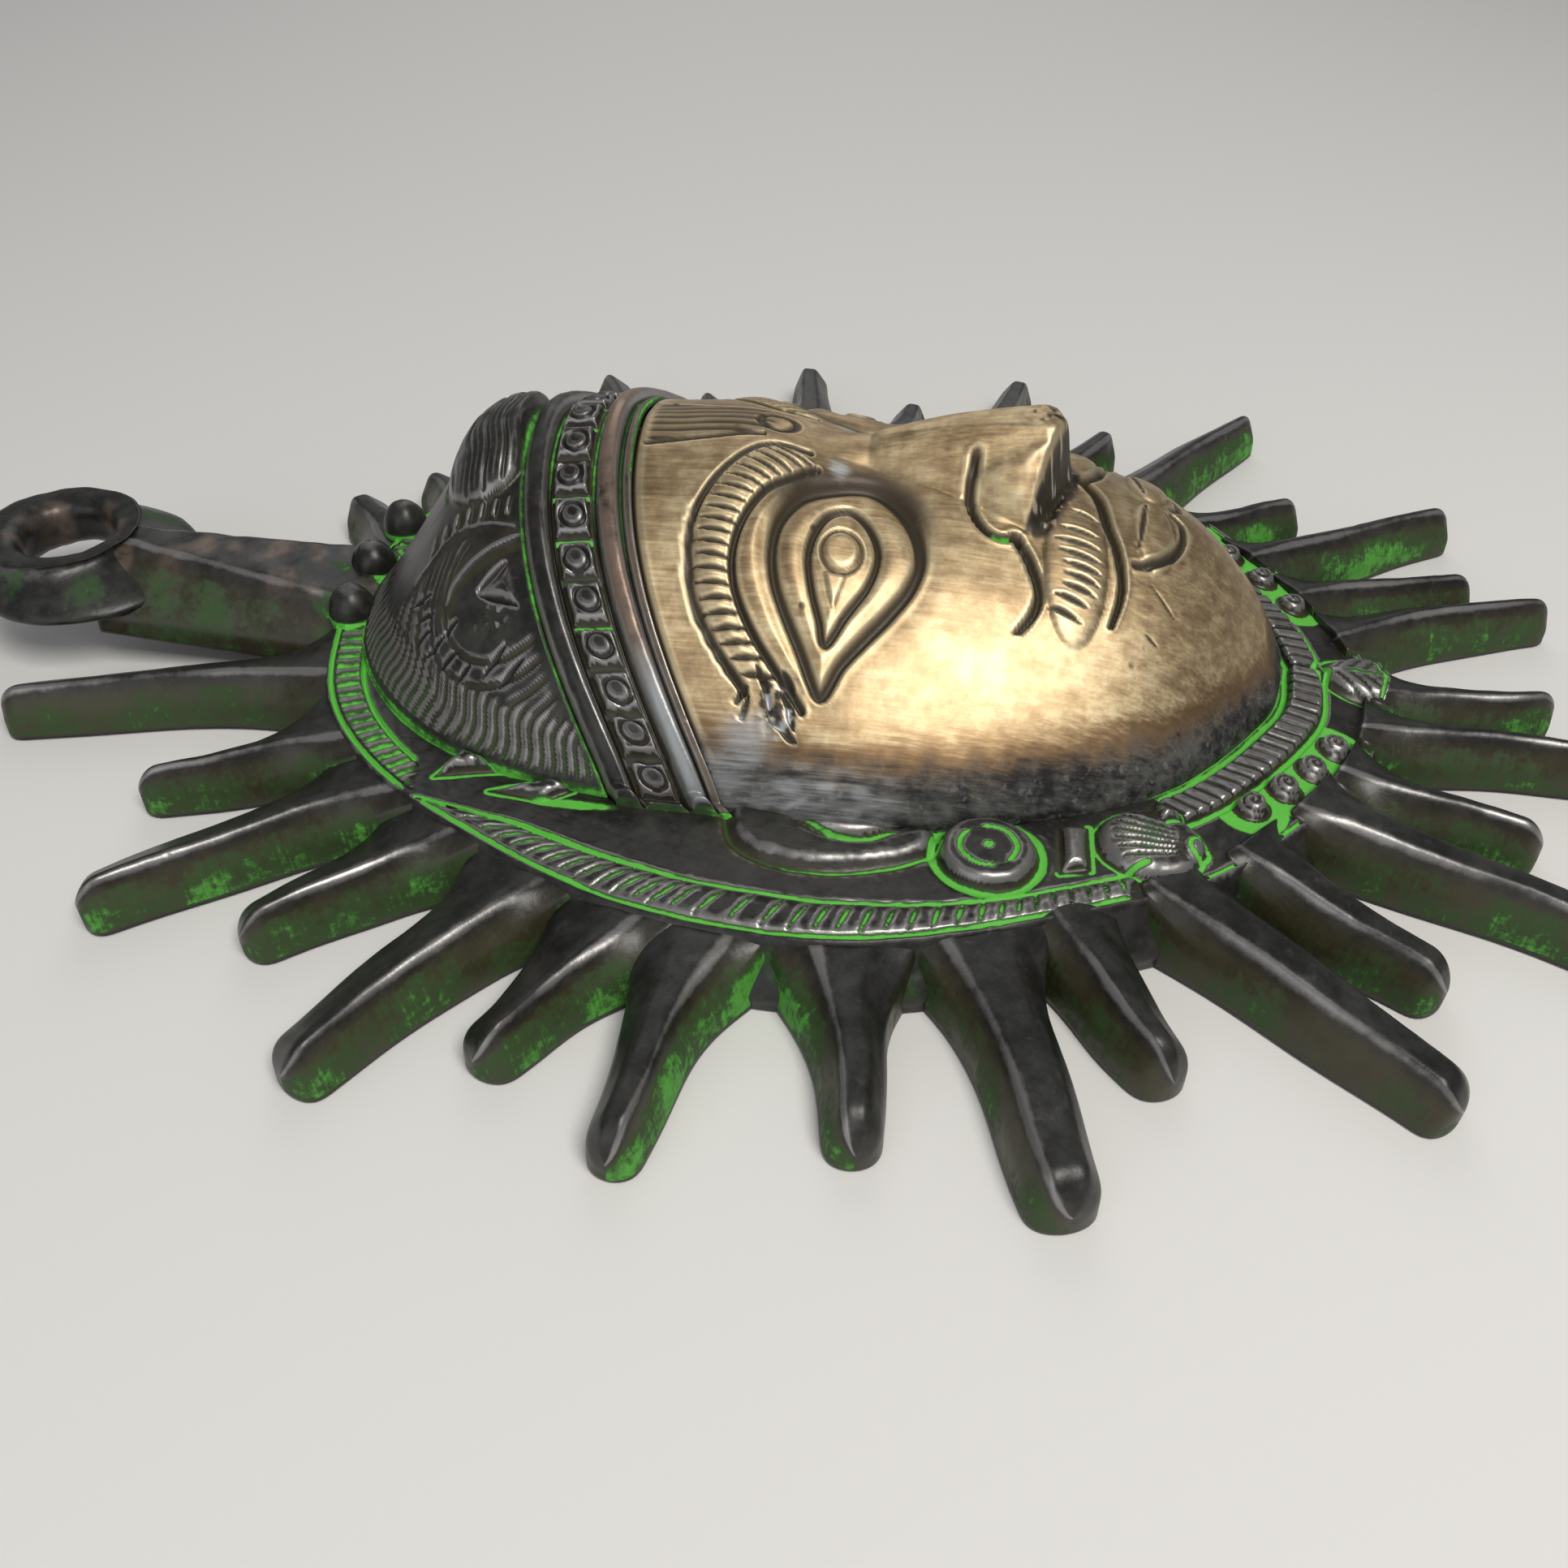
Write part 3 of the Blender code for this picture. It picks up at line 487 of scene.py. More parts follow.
def face_relief(x, y):
    """All carving of the face below the headband."""
    r = Relief(x, y)
    carve_brow(r)
    carve_eye(r)
    carve_outer_corner(r)
    carve_nose(r)
    carve_mouth(r)
    carve_tilak(r)
    r.rise += nose(x, y) + 0.06 * unevenness(x, y, 7.0)
    below = band_edge(x) - y
    r.furrow(np.abs(below - BAND_WIDTH), 0.5, 0.6)
    rim = np.minimum(head_half_width(y) - np.abs(x), (y - HEAD_FOOT_Y) * 1.3)
    r.marks["brass"][:] = ease(rim + 0.6 * unevenness(x, y, 3.0, 1.0), 0.6, 8.0)
    by_ear = np.exp(-(np.hypot((r.left + 37.4) / 3.4, (y + 6) / 11) ** 2))
    scratched = unevenness(x, y * 0.4, 1.2, 0.6)
    r.mark("silver_and_highlight", by_ear * (0.42 + 0.16 * ease(scratched, -0.2, 0.5)))
    at_lobe = np.exp(-(((y + 10.0) / 8.0) ** 2)) * (1 - ease(rim, 2.0, 5.0)) * (r.left < 0)
    r.mark("silver_and_highlight", at_lobe * (0.36 + 0.16 * ease(scratched, -0.3, 0.5)))
    r.mark("silver_and_highlight", 0.5 * np.exp(-(np.hypot((r.left + 35.5) / 3.0, (y - 5) / 5) ** 2)))
    return r


def band_arc():
    """Length along the middle of the tile row from the centre to each x, over the dome."""
    x = np.linspace(0, 39.5, 200)
    y = band_edge(x) - sum(TILES) / 2
    h = head_dome(x, y)
    steps = np.sqrt(np.diff(x) ** 2 + np.diff(y) ** 2 + np.diff(h) ** 2)
    return x, np.concatenate([[0], np.cumsum(steps)])


def headband_relief(x, y):
    """Outer roll, row of ringed tiles, inner roll and edge strip, by distance below the band's upper edge."""
    r = Relief(x, y)
    below = band_edge(x) - y
    arc = np.interp(np.abs(x), *band_arc())
    end = 1 - ease(np.abs(x), 38.0, 38.9)

    middle, half = sum(OUTER_ROLL) / 2, (OUTER_ROLL[1] - OUTER_ROLL[0]) / 2
    share = np.abs(below - middle) / half
    r.rise += 1.9 * end * np.clip(1 - share**2.4, 0, 1) ** 0.55
    # Painted highlight: a bright line along the outer roll's shoulder
    r.mark("crest_and_highlight", 0.85 * np.exp(-(((below - middle - 0.7) / 0.22) ** 2)) * end * ease(np.abs(x), 8, 22))

    tile = np.round(arc / TILE_PITCH)
    side = arc - tile * TILE_PITCH
    across = below - sum(TILES) / 2
    width = TILE_PITCH / 2 - 0.42 + 0.2 * np.sin(tile * 2.7)
    edge = np.minimum(width - np.abs(side), (TILES[1] - TILES[0]) / 2 - 0.1 - np.abs(across))
    edge = edge + 0.08 * unevenness(x, y, 2.3, 0.7)
    on_tile = ease(edge, 0.0, 0.55)
    r.rise += 1.2 * end * on_tile
    from_middle = np.hypot(side - 0.25 * np.sin(tile * 2.1), across + 0.15 * np.cos(tile * 3.3))
    ring = np.exp(-(((from_middle - 1.5) / 0.26) ** 2)) * on_tile
    disc = np.clip(1 - (from_middle / 1.3) ** 2, 0, 1)
    r.rise += 0.3 * disc - 0.5 * ring
    r.mark("groove_and_shade", 0.9 * ring)
    r.mark("crest_and_highlight", 0.55 * np.exp(-(((from_middle - 1.92) / 0.18) ** 2)) * on_tile)
    # Painted highlight: a bright ring on each tile's domed disc
    r.mark("crest_and_highlight", 0.5 * np.exp(-(((from_middle - 0.75) / 0.3) ** 2)) * on_tile)
    in_gap = (1 - ease(edge, -0.25, 0.15)) * (1 - ease(np.abs(across), 2.1, 2.4))
    gap_number = np.floor(arc / TILE_PITCH + 0.5) + (side > 0)
    r.mark("green", in_gap * (0.35 + 0.8 * (np.sin(gap_number * 2.2 + 0.4) > 0.1)) * end * (1 - ease(tile, 5.5, 6.5)))
    channel = np.exp(-(((below - 3.2) / 0.36) ** 2)) + np.exp(-(((below - 8.4) / 0.36) ** 2))
    r.rise -= 0.2 * channel
    r.mark("olive", channel)
    r.mark("green", 0.72 * np.exp(-(((below - 8.5) / 0.36) ** 2)) * (1 - ease(np.abs(x), 10, 21)))
    r.mark("green", 0.66 * np.exp(-(((below - 3.15) / 0.3) ** 2)) * (1 - ease(np.abs(x), 8, 16)))

    middle, half = sum(INNER_ROLL) / 2, (INNER_ROLL[1] - INNER_ROLL[0]) / 2
    share = np.abs(below - middle) / half
    r.rise += 1.75 * end * np.clip(1 - share**2.4, 0, 1) ** 0.55
    wear_and_sheen = 1 - ease(share, 0.55, 1.0)
    # Painted reflection: a silvery band along the inner roll towards its ends; the brass mark under it is rubbed metal
    r.mark("silver_and_highlight", 0.72 * wear_and_sheen * ease(np.abs(x), 20, 33) * end)
    r.mark("brass", wear_and_sheen * (1 - ease(np.abs(x), 24, 34)))

    middle, half = sum(EDGE_STRIP) / 2, (EDGE_STRIP[1] - EDGE_STRIP[0]) / 2
    share = np.abs(below - middle) / half
    r.rise += 0.45 * end * np.clip(1 - share**2, 0, 1) ** 0.5
    r.mark("brass", 0.4 * (1 - ease(share, 0.5, 1.0)))
    r.mark("olive", 0.6 * (1 - ease(share, 0.8, 1.2)))
    r.mark("green", (1 - ease(np.abs(below - 12.9), 0.1, 0.3)) * 0.6 * (1 - ease(np.abs(x), 8, 17)))
    r.mark("green", 0.5 * (1 - ease(np.abs(below - 11.7), 0.15, 0.4)) * (1 - ease(np.abs(x), 16, 26)))
    for cut in (3.2, 8.5, 11.7, 13.2):
        r.furrow(np.abs(below - cut), 0.26, 0.28)
    under = np.clip(1 - np.abs(np.abs(x) - 38.9) / 0.7, 0, 1)
    r.mark("green", 0.9 * under)
    r.rise += 0.07 * unevenness(x, y, 4.0, 1.3)
    return r


def turban_relief(x, y):
    """Knob with cross strokes, a row of bars, a leaf with a facet and strands, and a comb of strokes at the border."""
    r = Relief(x, y)
    middle_x, middle_y, half_x, half_y, rise = KNOB
    share = ((x - middle_x) / half_x) ** 2 + ((y - middle_y) / half_y) ** 2
    r.rise += rise * np.clip(1 - share**2, 0, 1) ** 0.5
    on_knob = 1 - ease(share, 0.85, 1.0)
    strokes = np.cos(2 * math.pi * (y + 0.012 * x**2 + 0.3 * np.sin(x * 0.7)) / 2.4)
    cut = on_knob * np.clip(strokes, 0, 1) ** 3
    r.rise -= 0.4 * cut
    r.mark("groove_and_shade", 0.6 * cut)
    r.mark("crest_and_highlight", 0.5 * on_knob * np.clip(-strokes, 0, 1) ** 5)
    r.mark("green", 0.62 * np.exp(-(((share - 1.1) / 0.1) ** 2)) * (1 - ease(np.abs(x), 5, 10)))

    bars = np.cos(2 * math.pi * y / 1.7)
    in_row = np.exp(-(((r.left + 12.6) / 1.2) ** 4)) * ease(y, 33, 34.5) * (1 - ease(y, 43.5, 45))
    r.rise += 0.55 * in_row * np.clip(bars, -0.2, 1)
    r.mark("crest_and_highlight", 0.5 * in_row * np.clip(bars, 0, 1) ** 3)

    angle = np.arctan2(x, -y)
    border = head_radius(angle) - np.hypot(x, y)
    above_comb = ease(border, 3.8, 4.8)
    beyond = ease(-r.left, 14.5, 16.0) * above_comb * ease(y - band_edge(x), 0.8, 2.0)
    arc, share = r.distance(LEAF_ARC)
    from_leaf = np.hypot(r.left + 20.4, (y - 33.2) * 0.9)
    around = ease(from_leaf, 5.6, 6.6)
    rings = np.cos(2 * math.pi * (from_leaf + 0.35 * np.sin(angle * 9)) / 1.75)
    r.rise -= 0.34 * beyond * around * np.clip(rings, 0, 1) ** 2
    r.mark("groove_and_shade", 0.5 * beyond * around * np.clip(rings, 0, 1) ** 2)
    r.mark("crest_and_highlight", 0.28 * beyond * around * np.clip(-rings, 0, 1) ** 5)
    r.rise += 0.5 * np.exp(-((arc / 0.42) ** 2))
    r.mark("crest_and_highlight", 0.8 * np.exp(-((arc / 0.3) ** 2)))
    r.mark("olive", 0.7 * np.exp(-(((arc - 1.0) / 0.5) ** 2)) * (r.left < -17))
    strand = r.distance(LEAF_STRAND)[0]
    r.rise += 0.35 * np.exp(-((strand / 0.4) ** 2))
    r.mark("crest_and_highlight", 0.45 * np.exp(-((strand / 0.28) ** 2)))
    facet = r.depth_in(np.array(LEAF_FACET, float), smooth=False)
    r.pad(facet, 0.45, 0.7)
    starts, ends = zip(*LEAF_CUTS)
    r.gashes(starts, ends, 0.36, 0.7)
    starts, ends = zip(*LEAF_STROKES)
    r.gashes(starts, ends, 0.34, 0.4)
    glint = np.exp(-(np.hypot((r.left + 23.8) / 1.6, (y - 34) / 2.4) ** 2))
    chipped = unevenness(x, y, 1.5, 2.2)
    r.rise += 0.2 * glint * chipped
    r.mark("silver_and_highlight", 0.9 * glint * ease(chipped, 0.0, 0.4))

    comb = np.cos(2 * math.pi * (angle * 52 + 0.5 * np.sin(border * 1.5 + angle * 7) + 0.3 * border) / 1.65)
    at_border = (1 - above_comb) * ease(border, 0.3, 0.8)
    r.rise -= 0.4 * at_border * np.clip(comb, 0, 1)
    r.mark("groove_and_shade", 0.5 * at_border * np.clip(comb, 0, 1))
    r.mark("green", at_border * np.clip(comb, 0, 1) * (0.66 - 0.08 * border))
    r.mark("crest_and_highlight", 0.25 * at_border * np.clip(-comb, 0, 1) ** 3)

    from_band = y - band_edge(x)
    r.mark("green", 0.62 * np.exp(-(((from_band - 0.3) / 0.45) ** 2)))
    r.mark("green", 0.62 * np.exp(-((border / 0.35) ** 2)))
    r.rise *= 0.25 + 0.75 * ease(from_band, 0, 1.8)
    r.rise += 0.1 * unevenness(x, y, 4.5, 0.3)
    r.furrow(np.abs(from_band), 0.4, 0.4)
    return r


def rope_strokes():
    """Slanted strokes of the rope border, from its inner curve to the plate's edge."""
    inner = smooth_curve(ROPE_INNER, 12)
    share = np.linspace(0.05, 0.955, ROPE_STROKES)
    points = np.stack([np.interp(share, np.linspace(0, 1, len(inner)), inner[:, k]) for k in (0, 1)], 1)
    slant = 4.2 - 3.0 * share
    angle = np.arctan2(points[:, 0], -points[:, 1]) - slant / 55
    reach = plate_radius(angle) - 1.0
    ends = np.stack([reach * np.sin(angle), -reach * np.cos(angle)], 1)
    return points + (ends - points) * 0.08, ends


def rope_and_ticks(r, angle, edge):
    """Rope border at the sides and the band of ticks at the crown."""
    rope_inner, share = r.distance(ROPE_INNER)
    points = smooth_curve(ROPE_INNER, 6)
    outline = [point for point in smooth_curve(PLATE_OUTLINE, 6) if -43 < point[1] < 40.5]
    r.pad(r.depth_in(np.vstack([points, outline[::-1]]), smooth=False), 0.7, 1.1)
    r.gashes(*rope_strokes(), 0.32, 0.5, green=0.62, dark=0.6)
    beside_rope = ease(r.y, -44, -40) * (1 - ease(r.y, 39.5, 41))
    r.painted_line(rope_inner, 0.3 + 0.2 * np.exp(-(((r.y - 21) / 9) ** 2)), 0.5)
    r.painted_line(np.abs(edge - 0.5) + 3 * (1 - beside_rope), 0.25, 0.4, 0.95)
    r.mark("crest_and_highlight", 0.5 * np.exp(-(((edge - 1.3) / 0.25) ** 2)) * beside_rope)

    tick_band = ease(r.y, 40.5, 42.5)
    ticks = np.cos(2 * math.pi * angle * 62 / 2.1)
    in_band = ease(edge, 0.9, 1.3) * (1 - ease(edge, 3.9, 4.4)) * tick_band
    r.rise += 0.5 * in_band * (0.5 - 0.5 * ticks)
    r.mark("green", in_band * (0.50 + 0.2 * ticks + 0.12 * unevenness(r.x, r.y, 1.4, 0.3)))
    r.painted_line(np.abs(edge - 4.6) + 3 * (1 - tick_band), 0.34, 0.5)
    r.painted_line(np.abs(edge - 0.5) + 3 * (1 - tick_band), 0.34, 0.4)
    for bead_x, bead_y in BEADS:
        from_bead = np.hypot(r.x - bead_x, r.y - bead_y)
        r.mark("green", 0.95 * np.exp(-(((from_bead - BEAD_RADIUS - 0.3) / 0.5) ** 2)))


def ear_and_earring(r):
    """Curved roll of the ear, its lobe, and the ringed earring under it."""
    ear = r.depth_in(EAR_ROLL)
    r.pad(ear, 1.15, 0.9)
    outside_face = 1 - ease(r.left, -37, -35.5)
    r.rise -= 0.4 * np.exp(-(((ear + 0.3) / 0.45) ** 2)) * outside_face
    r.mark("green", 0.86 * np.exp(-(((ear + 0.35) / 0.36) ** 2)) * outside_face * (0.62 + 0.4 * ease(-r.y, -2, 12)))
    r.mark("olive", 0.85 * np.exp(-(((ear + 0.5) / 0.9) ** 2)))
    # Painted highlight along the ear roll's lower edge
    r.mark("crest_and_highlight", 0.4 * np.exp(-(((ear - 0.9) / 0.4) ** 2)) * ease(-r.y, 7, 13))
    lobe = r.boss(EAR_LOBE, 1.4)
    scratched = unevenness(r.x, r.y * 0.5, 1.1, 0.9)
    r.mark("silver_and_highlight", 0.8 * (1 - ease(lobe, 0.5, 1.1)) * ease(scratched, 0.0, 0.4))

    from_ring = np.hypot(r.left - EARRING[0], (r.y - EARRING[1]) / 1.04)
    from_ring = from_ring + 0.12 * unevenness(r.x, r.y, 4.0, 0.2)
    r.pad(EARRING[2] - from_ring, 1.7, 0.7)
    side = np.arctan2(r.y - EARRING[1], r.left - EARRING[0])
    whole = ease(np.abs(np.sin(side - 0.5)), 0.18, 0.4)
    r.painted_line(np.abs(from_ring - 3.0) + 0.25 * (1 - whole), 0.3, 0.5)
    r.rise += 0.25 * np.exp(-((from_ring / 1.8) ** 2))
    r.painted_line(np.abs(from_ring - 0.35), 0.22, 0.3)
    around = np.exp(-(((from_ring - EARRING[2] - 0.4) / 0.6) ** 2))
    r.rise -= 0.35 * around
    r.mark("green", 0.95 * around)
    r.mark("crest_and_highlight", 0.6 * np.exp(-(((from_ring - 4.75) / 0.3) ** 2)))


def trapezoid_and_shell(r):
    """Squared block and fan-shaped shell with its loop, below the earring."""
    block = r.depth_in(np.array(TRAPEZOID, float), smooth=False)
    r.pad(block, 1.3, 0.7)
    beside = np.exp(-(((block + 0.35) / 0.4) ** 2))
    r.mark("green", beside * np.maximum(ease(-r.y, 35.6, 36.6), 0.8 * ease(-r.left, 42.2, 43)))
    r.mark("crest_and_highlight", 0.45 * np.exp(-(((block - 0.7) / 0.3) ** 2)))
    shell = r.boss(SHELL, 2.1)
    spread = np.linspace(-1, 1, 6)
    starts = np.stack([-37.3 + 3.3 * spread, -38.8 - 0.9 * spread**2], 1)
    ends = np.stack([-38.2 + 1.8 * spread, -46.2 + 0.4 * spread**2], 1)
    before = r.rise.copy()
    r.gashes(starts, ends, 0.34, 0.45, green=0.4, dark=0.7)
    r.rise = before + (r.rise - before) * (1 - ease(shell, 0.75, 1.0))
    r.mark("green", np.exp(-(((np.sqrt(shell) - 1.08) / 0.06) ** 2)) * (0.7 + 0.3 * ease(-r.left, 38, 41)))
    r.mark("crest_and_highlight", 0.5 * np.exp(-(((np.sqrt(shell) - 0.88) / 0.05) ** 2)))
    loop = np.hypot(r.left - SHELL_LOOP[0], r.y - SHELL_LOOP[1])
    r.pad(SHELL_LOOP[2] - loop, 0.8, 0.5)
    r.painted_line(np.abs(loop - 1.2), 0.28, 0.45)


def necklace_and_studs(r, angle, edge, from_head):
    """Ribbed necklace under the chin and the row of spiral studs outside it."""
    low = ease(-r.y, -NECKLACE_TOP_Y - 0.6, -NECKLACE_TOP_Y + 0.6)
    middle, half = sum(NECKLACE) / 2, (NECKLACE[1] - NECKLACE[0]) / 2
    across = np.abs(from_head - middle) / half
    in_necklace = (1 - ease(across, 0.75, 1.0)) * low
    r.rise += 1.2 * in_necklace
    tick = np.cos(2 * math.pi * angle * 58 / NECKLACE_TICK)
    r.rise -= 0.5 * in_necklace * np.clip(tick, 0, 1) ** 2
    r.mark("groove_and_shade", 0.8 * in_necklace * np.clip(tick, 0, 1) ** 2)
    r.mark("crest_and_highlight", 0.7 * in_necklace * np.clip(-tick, 0, 1) * (1 - ease(across, 0.2, 0.7)))
    for line in (NECKLACE[0] - 0.4, NECKLACE[1] + 0.45):
        r.painted_line(np.abs(from_head - line) + 3 * (1 - low), 0.36, 0.5)
    gap = np.full(np.shape(r.x), np.inf)
    turn = np.zeros(np.shape(r.x))
    for stud_x, stud_y in STUDS:
        distance = np.hypot(r.left - stud_x, r.y - stud_y)
        turn = np.where(distance < gap, np.arctan2(r.y - stud_y, r.left - stud_x), turn)
        gap = np.minimum(gap, distance)
    r.pad(STUD_RADIUS - gap, 1.5, 0.6)
    spiral = np.cos(2 * math.pi * gap / 0.95 - turn)
    on_stud = 1 - ease(gap, 1.7, 2.1)
    r.rise -= 0.22 * on_stud * spiral
    r.mark("groove_and_shade", 0.6 * on_stud * np.clip(spiral, 0, 1) ** 2)
    r.mark("crest_and_highlight", 0.6 * on_stud * np.clip(-spiral, 0, 1) ** 3)
    field = low * ease(from_head, NECKLACE[1], NECKLACE[1] + 0.5) * (1 - ease(gap, 4.0, 5.0)) * ease(gap, 2.2, 2.5)
    r.mark("green", 0.86 * field + 0.16 * field * unevenness(r.x, r.y, 2.2, 0.7))
    r.painted_line(np.abs(edge - 0.6) + 3 * (1 - low), 0.3, 0.4, 0.8)


def crown_facets(r):
    """Leaf and triangle beside the end of the headband, with bright glints and painted edges."""
    for corners, rise in ((BAND_LEAF, 1.7), (BAND_TRIANGLE, 1.3)):
        facet = r.depth_in(np.array(corners, float), smooth=False)
        r.pad(facet, rise, 0.6)
        r.mark("green", 0.9 * np.exp(-(((facet + 0.35) / 0.36) ** 2)))
        glints = unevenness(r.x, r.y, 1.3, 0.2)
        r.rise += 0.16 * ease(facet, 0, 0.5) * glints
        r.mark("silver_and_highlight", 0.7 * ease(facet, 0.2, 0.8) * ease(glints, 0.0, 0.4))
    under_band = np.hypot((r.left + 38.9) / 0.9, (r.y - 22.5) / 6.0)
    r.mark("green", 0.85 * np.exp(-(under_band**4)))


def pendant_leaf(r):
    """Leaf at the foot of the necklace, with slanting veins and a painted edge."""
    leaf = np.hypot((r.x - PENDANT[0]) / PENDANT[2], (r.y - PENDANT[1]) / PENDANT[3]) * (1 + 0.04 * np.abs(r.x))
    r.pad((1 - leaf) * 6, 2.1, 1.4)
    veins = np.cos(2 * math.pi * (r.y + 0.8 * np.abs(r.x)) / 1.9)
    on_leaf = 1 - ease(leaf, 0.8, 0.95)
    r.rise -= 0.35 * on_leaf * np.clip(veins, 0, 1) ** 2 * ease(np.abs(r.x), 0.3, 1.0)
    r.mark("green", 0.5 * on_leaf * np.clip(veins, 0, 1) ** 2 * ease(-r.y, 70, 73))
    r.mark("crest_and_highlight", 0.5 * on_leaf * np.clip(-veins, 0, 1) ** 3)
    r.painted_line(np.abs(r.x) + 5 * ease(leaf, 0.45, 0.6), 0.3, 0.5, 0.8)
    r.mark("green", 0.9 * np.exp(-(((leaf - 1.06) / 0.07) ** 2)))


def collar_relief(x, y, angle, reach):
    """Borders, ear, earring, shell, necklace, studs, facets and pendant on the plate round the head."""
    r = Relief(x, y)
    edge = plate_radius(angle) - reach
    from_head = reach - head_radius(angle)
    rope_and_ticks(r, angle, edge)
    ear_and_earring(r)
    trapezoid_and_shell(r)
    necklace_and_studs(r, angle, edge, from_head)
    crown_facets(r)
    pendant_leaf(r)
    r.mark("green", 0.9 * np.exp(-((from_head / 0.45) ** 2)) * ease(-y, 40, 46))
    r.mark("green", 0.7 * np.exp(-((from_head / 0.4) ** 2)) * ease(y, 24, 30))
    r.mark("silver_and_highlight", 0.5 * np.exp(-((from_head / 0.8) ** 2)) * ease(unevenness(x, y, 1.3, 0.9), 0.1, 0.5)
           * (1 - ease(np.abs(y + 12), 14, 20)))
    r.rise += 0.1 * unevenness(x, y, 5.0, 0.8) + 0.04 * unevenness(x, y, 1.7, 2.8)
    return r


def crests_and_hollows(r, grid_shape, wraps, reach=4):
    """Adds marks on the carving's crests, for rubbing and a painted highlight, where the carving stands over its
    surroundings, by comparing it with its own blur.
    """
    rise = r.rise.reshape(grid_shape)
    blurred = rise
    for _ in range(reach):
        across = np.pad(blurred, ((0, 0), (1, 1)), "wrap" if wraps else "edge")
        blurred = (across[:, :-2] + 2 * across[:, 1:-1] + across[:, 2:]) / 4
        along = np.pad(blurred, ((1, 1), (0, 0)), "edge")
        blurred = (along[:-2] + 2 * along[1:-1] + along[2:]) / 4
    over = (rise - blurred).reshape(r.rise.shape)
    r.mark("crest_and_highlight", np.clip(over / 0.11, 0, 1))
    r.mark("olive", np.clip(-over / 0.16, 0, 0.8))


def on_the_wall(points):
    """Plan millimetres to metres in the frame: relief looks along -Y, and the bearing point is at height 0."""
    return np.stack([points[:, 0], -points[:, 2], points[:, 1] - HANG_Y], 1) * MM


def grid_quads(rows, columns, wraps=False, start=0):
    """Quads of a grid of points stored row by row; wraps joins the last column to the first."""
    index = np.arange(rows * columns).reshape(rows, columns) + start
    if wraps:
        index = np.hstack([index, index[:, :1]])
    return np.stack([index[:-1, :-1], index[:-1, 1:], index[1:, 1:], index[1:, :-1]], -1).reshape(-1, 4)


def make_piece(name, points, quads, marks, material):
    """A mesh object of plan points and quads with its marks as point attributes, riding on the casting's body."""
    mesh = bpy.data.meshes.new(name)
    mesh.vertices.add(len(points))
    mesh.vertices.foreach_set("co", on_the_wall(points).astype(np.float32).ravel())
    mesh.loops.add(quads.size)
    mesh.loops.foreach_set("vertex_index", quads.astype(np.int32).ravel())
    mesh.polygons.add(len(quads))
    mesh.polygons.foreach_set("loop_start", np.arange(len(quads), dtype=np.int32) * 4)
    mesh.update(calc_edges=True)
    mesh.validate()
    mesh.shade_smooth()
    for mark, values in marks.items():
        mesh.attributes.new(mark, "FLOAT", "POINT").data.foreach_set("value", values.astype(np.float32).ravel())
    mesh.materials.append(material)
    made = bpy.data.objects.new(name, mesh)
    bpy.context.scene.collection.objects.link(made)
    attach(made, "root")
    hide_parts(CASTING)
    return made


def spaced(values, counts):
    """Steps between given values, with the given count of steps in each stretch."""
    stretches = [np.linspace(a, b, n, endpoint=False) for a, b, n in zip(values[:-1], values[1:], counts)]
    return np.concatenate(stretches + [[values[-1]]])


def lens_grid(shares, rows_y, top_edge, bottom_edge, overhang=0.0):
    """Plan points of a strip of the head: columns at fixed shares of its half width, rows between two edges."""
    x = np.zeros((len(rows_y), len(shares)))
    low = np.full(len(shares), float(HEAD_FOOT_Y))
    high = np.full(len(shares), float(HEAD_TOP_Y))
    for edge, values in ((bottom_edge, low), (top_edge, high)):
        if edge is None:
            continue
        values[:] = edge(shares * BAND_HALF_SPAN)
        for _ in range(12):
            values[:] = edge(shares * (head_half_width(values) + overhang))
    start, end = rows_y[0], rows_y[-1]
    along = (rows_y[:, None] - start) / (end - start)
    y = low + (high - low) * along
    x = shares * (head_half_width(y) + overhang)
    return x, y


def tuck(height, x, y, sides, drop=2.2):
    """Adds lowered copies of the outer columns and one outer row, so the strip ends inside its neighbour."""
    def pad(grid, change):
        grid = np.hstack([grid[:, :1] + change, grid, grid[:, -1:] + change])
        if sides == "foot":
            return np.vstack([grid[:1] + change, grid])
        if sides == "crown":
            return np.vstack([grid[:1] + change, grid, grid[-1:] + change])
        return grid
    return pad(height, -drop), pad(x, 0), pad(y, 0)


def head_piece(name, shares, rows_y, edges, relief_of, material, sides, overhang=0.0):
    """A strip of the head: dome plus carving on a lens grid, tucked in at its outer edges."""
    x, y = lens_grid(shares, rows_y, *edges, overhang)
    relief = relief_of(x.ravel(), y.ravel())
    crests_and_hollows(relief, x.shape, False)
    height = HEAD_BASE + head_dome(x, y) + relief.rise.reshape(x.shape)
    marks = {name: values.reshape(x.shape) for name, values in relief.marks.items()}
    marks = {key: tuck(values, x, y, sides, 0)[0] for key, values in marks.items()}
    height, x, y = tuck(height, x, y, sides)
    points = np.stack([x.ravel(), y.ravel(), height.ravel()], 1)
    return make_piece(name, points, grid_quads(*x.shape), marks, material)


def column_shares(fine, coarse):
    """Column places from -1 to 1: evenly fine across the features and clustered towards the steep rim."""
    half = spaced((0, 0.86, 0.97, 1.0), (fine, coarse, coarse // 2))
    return np.concatenate([-half[::-1], half[1:]])


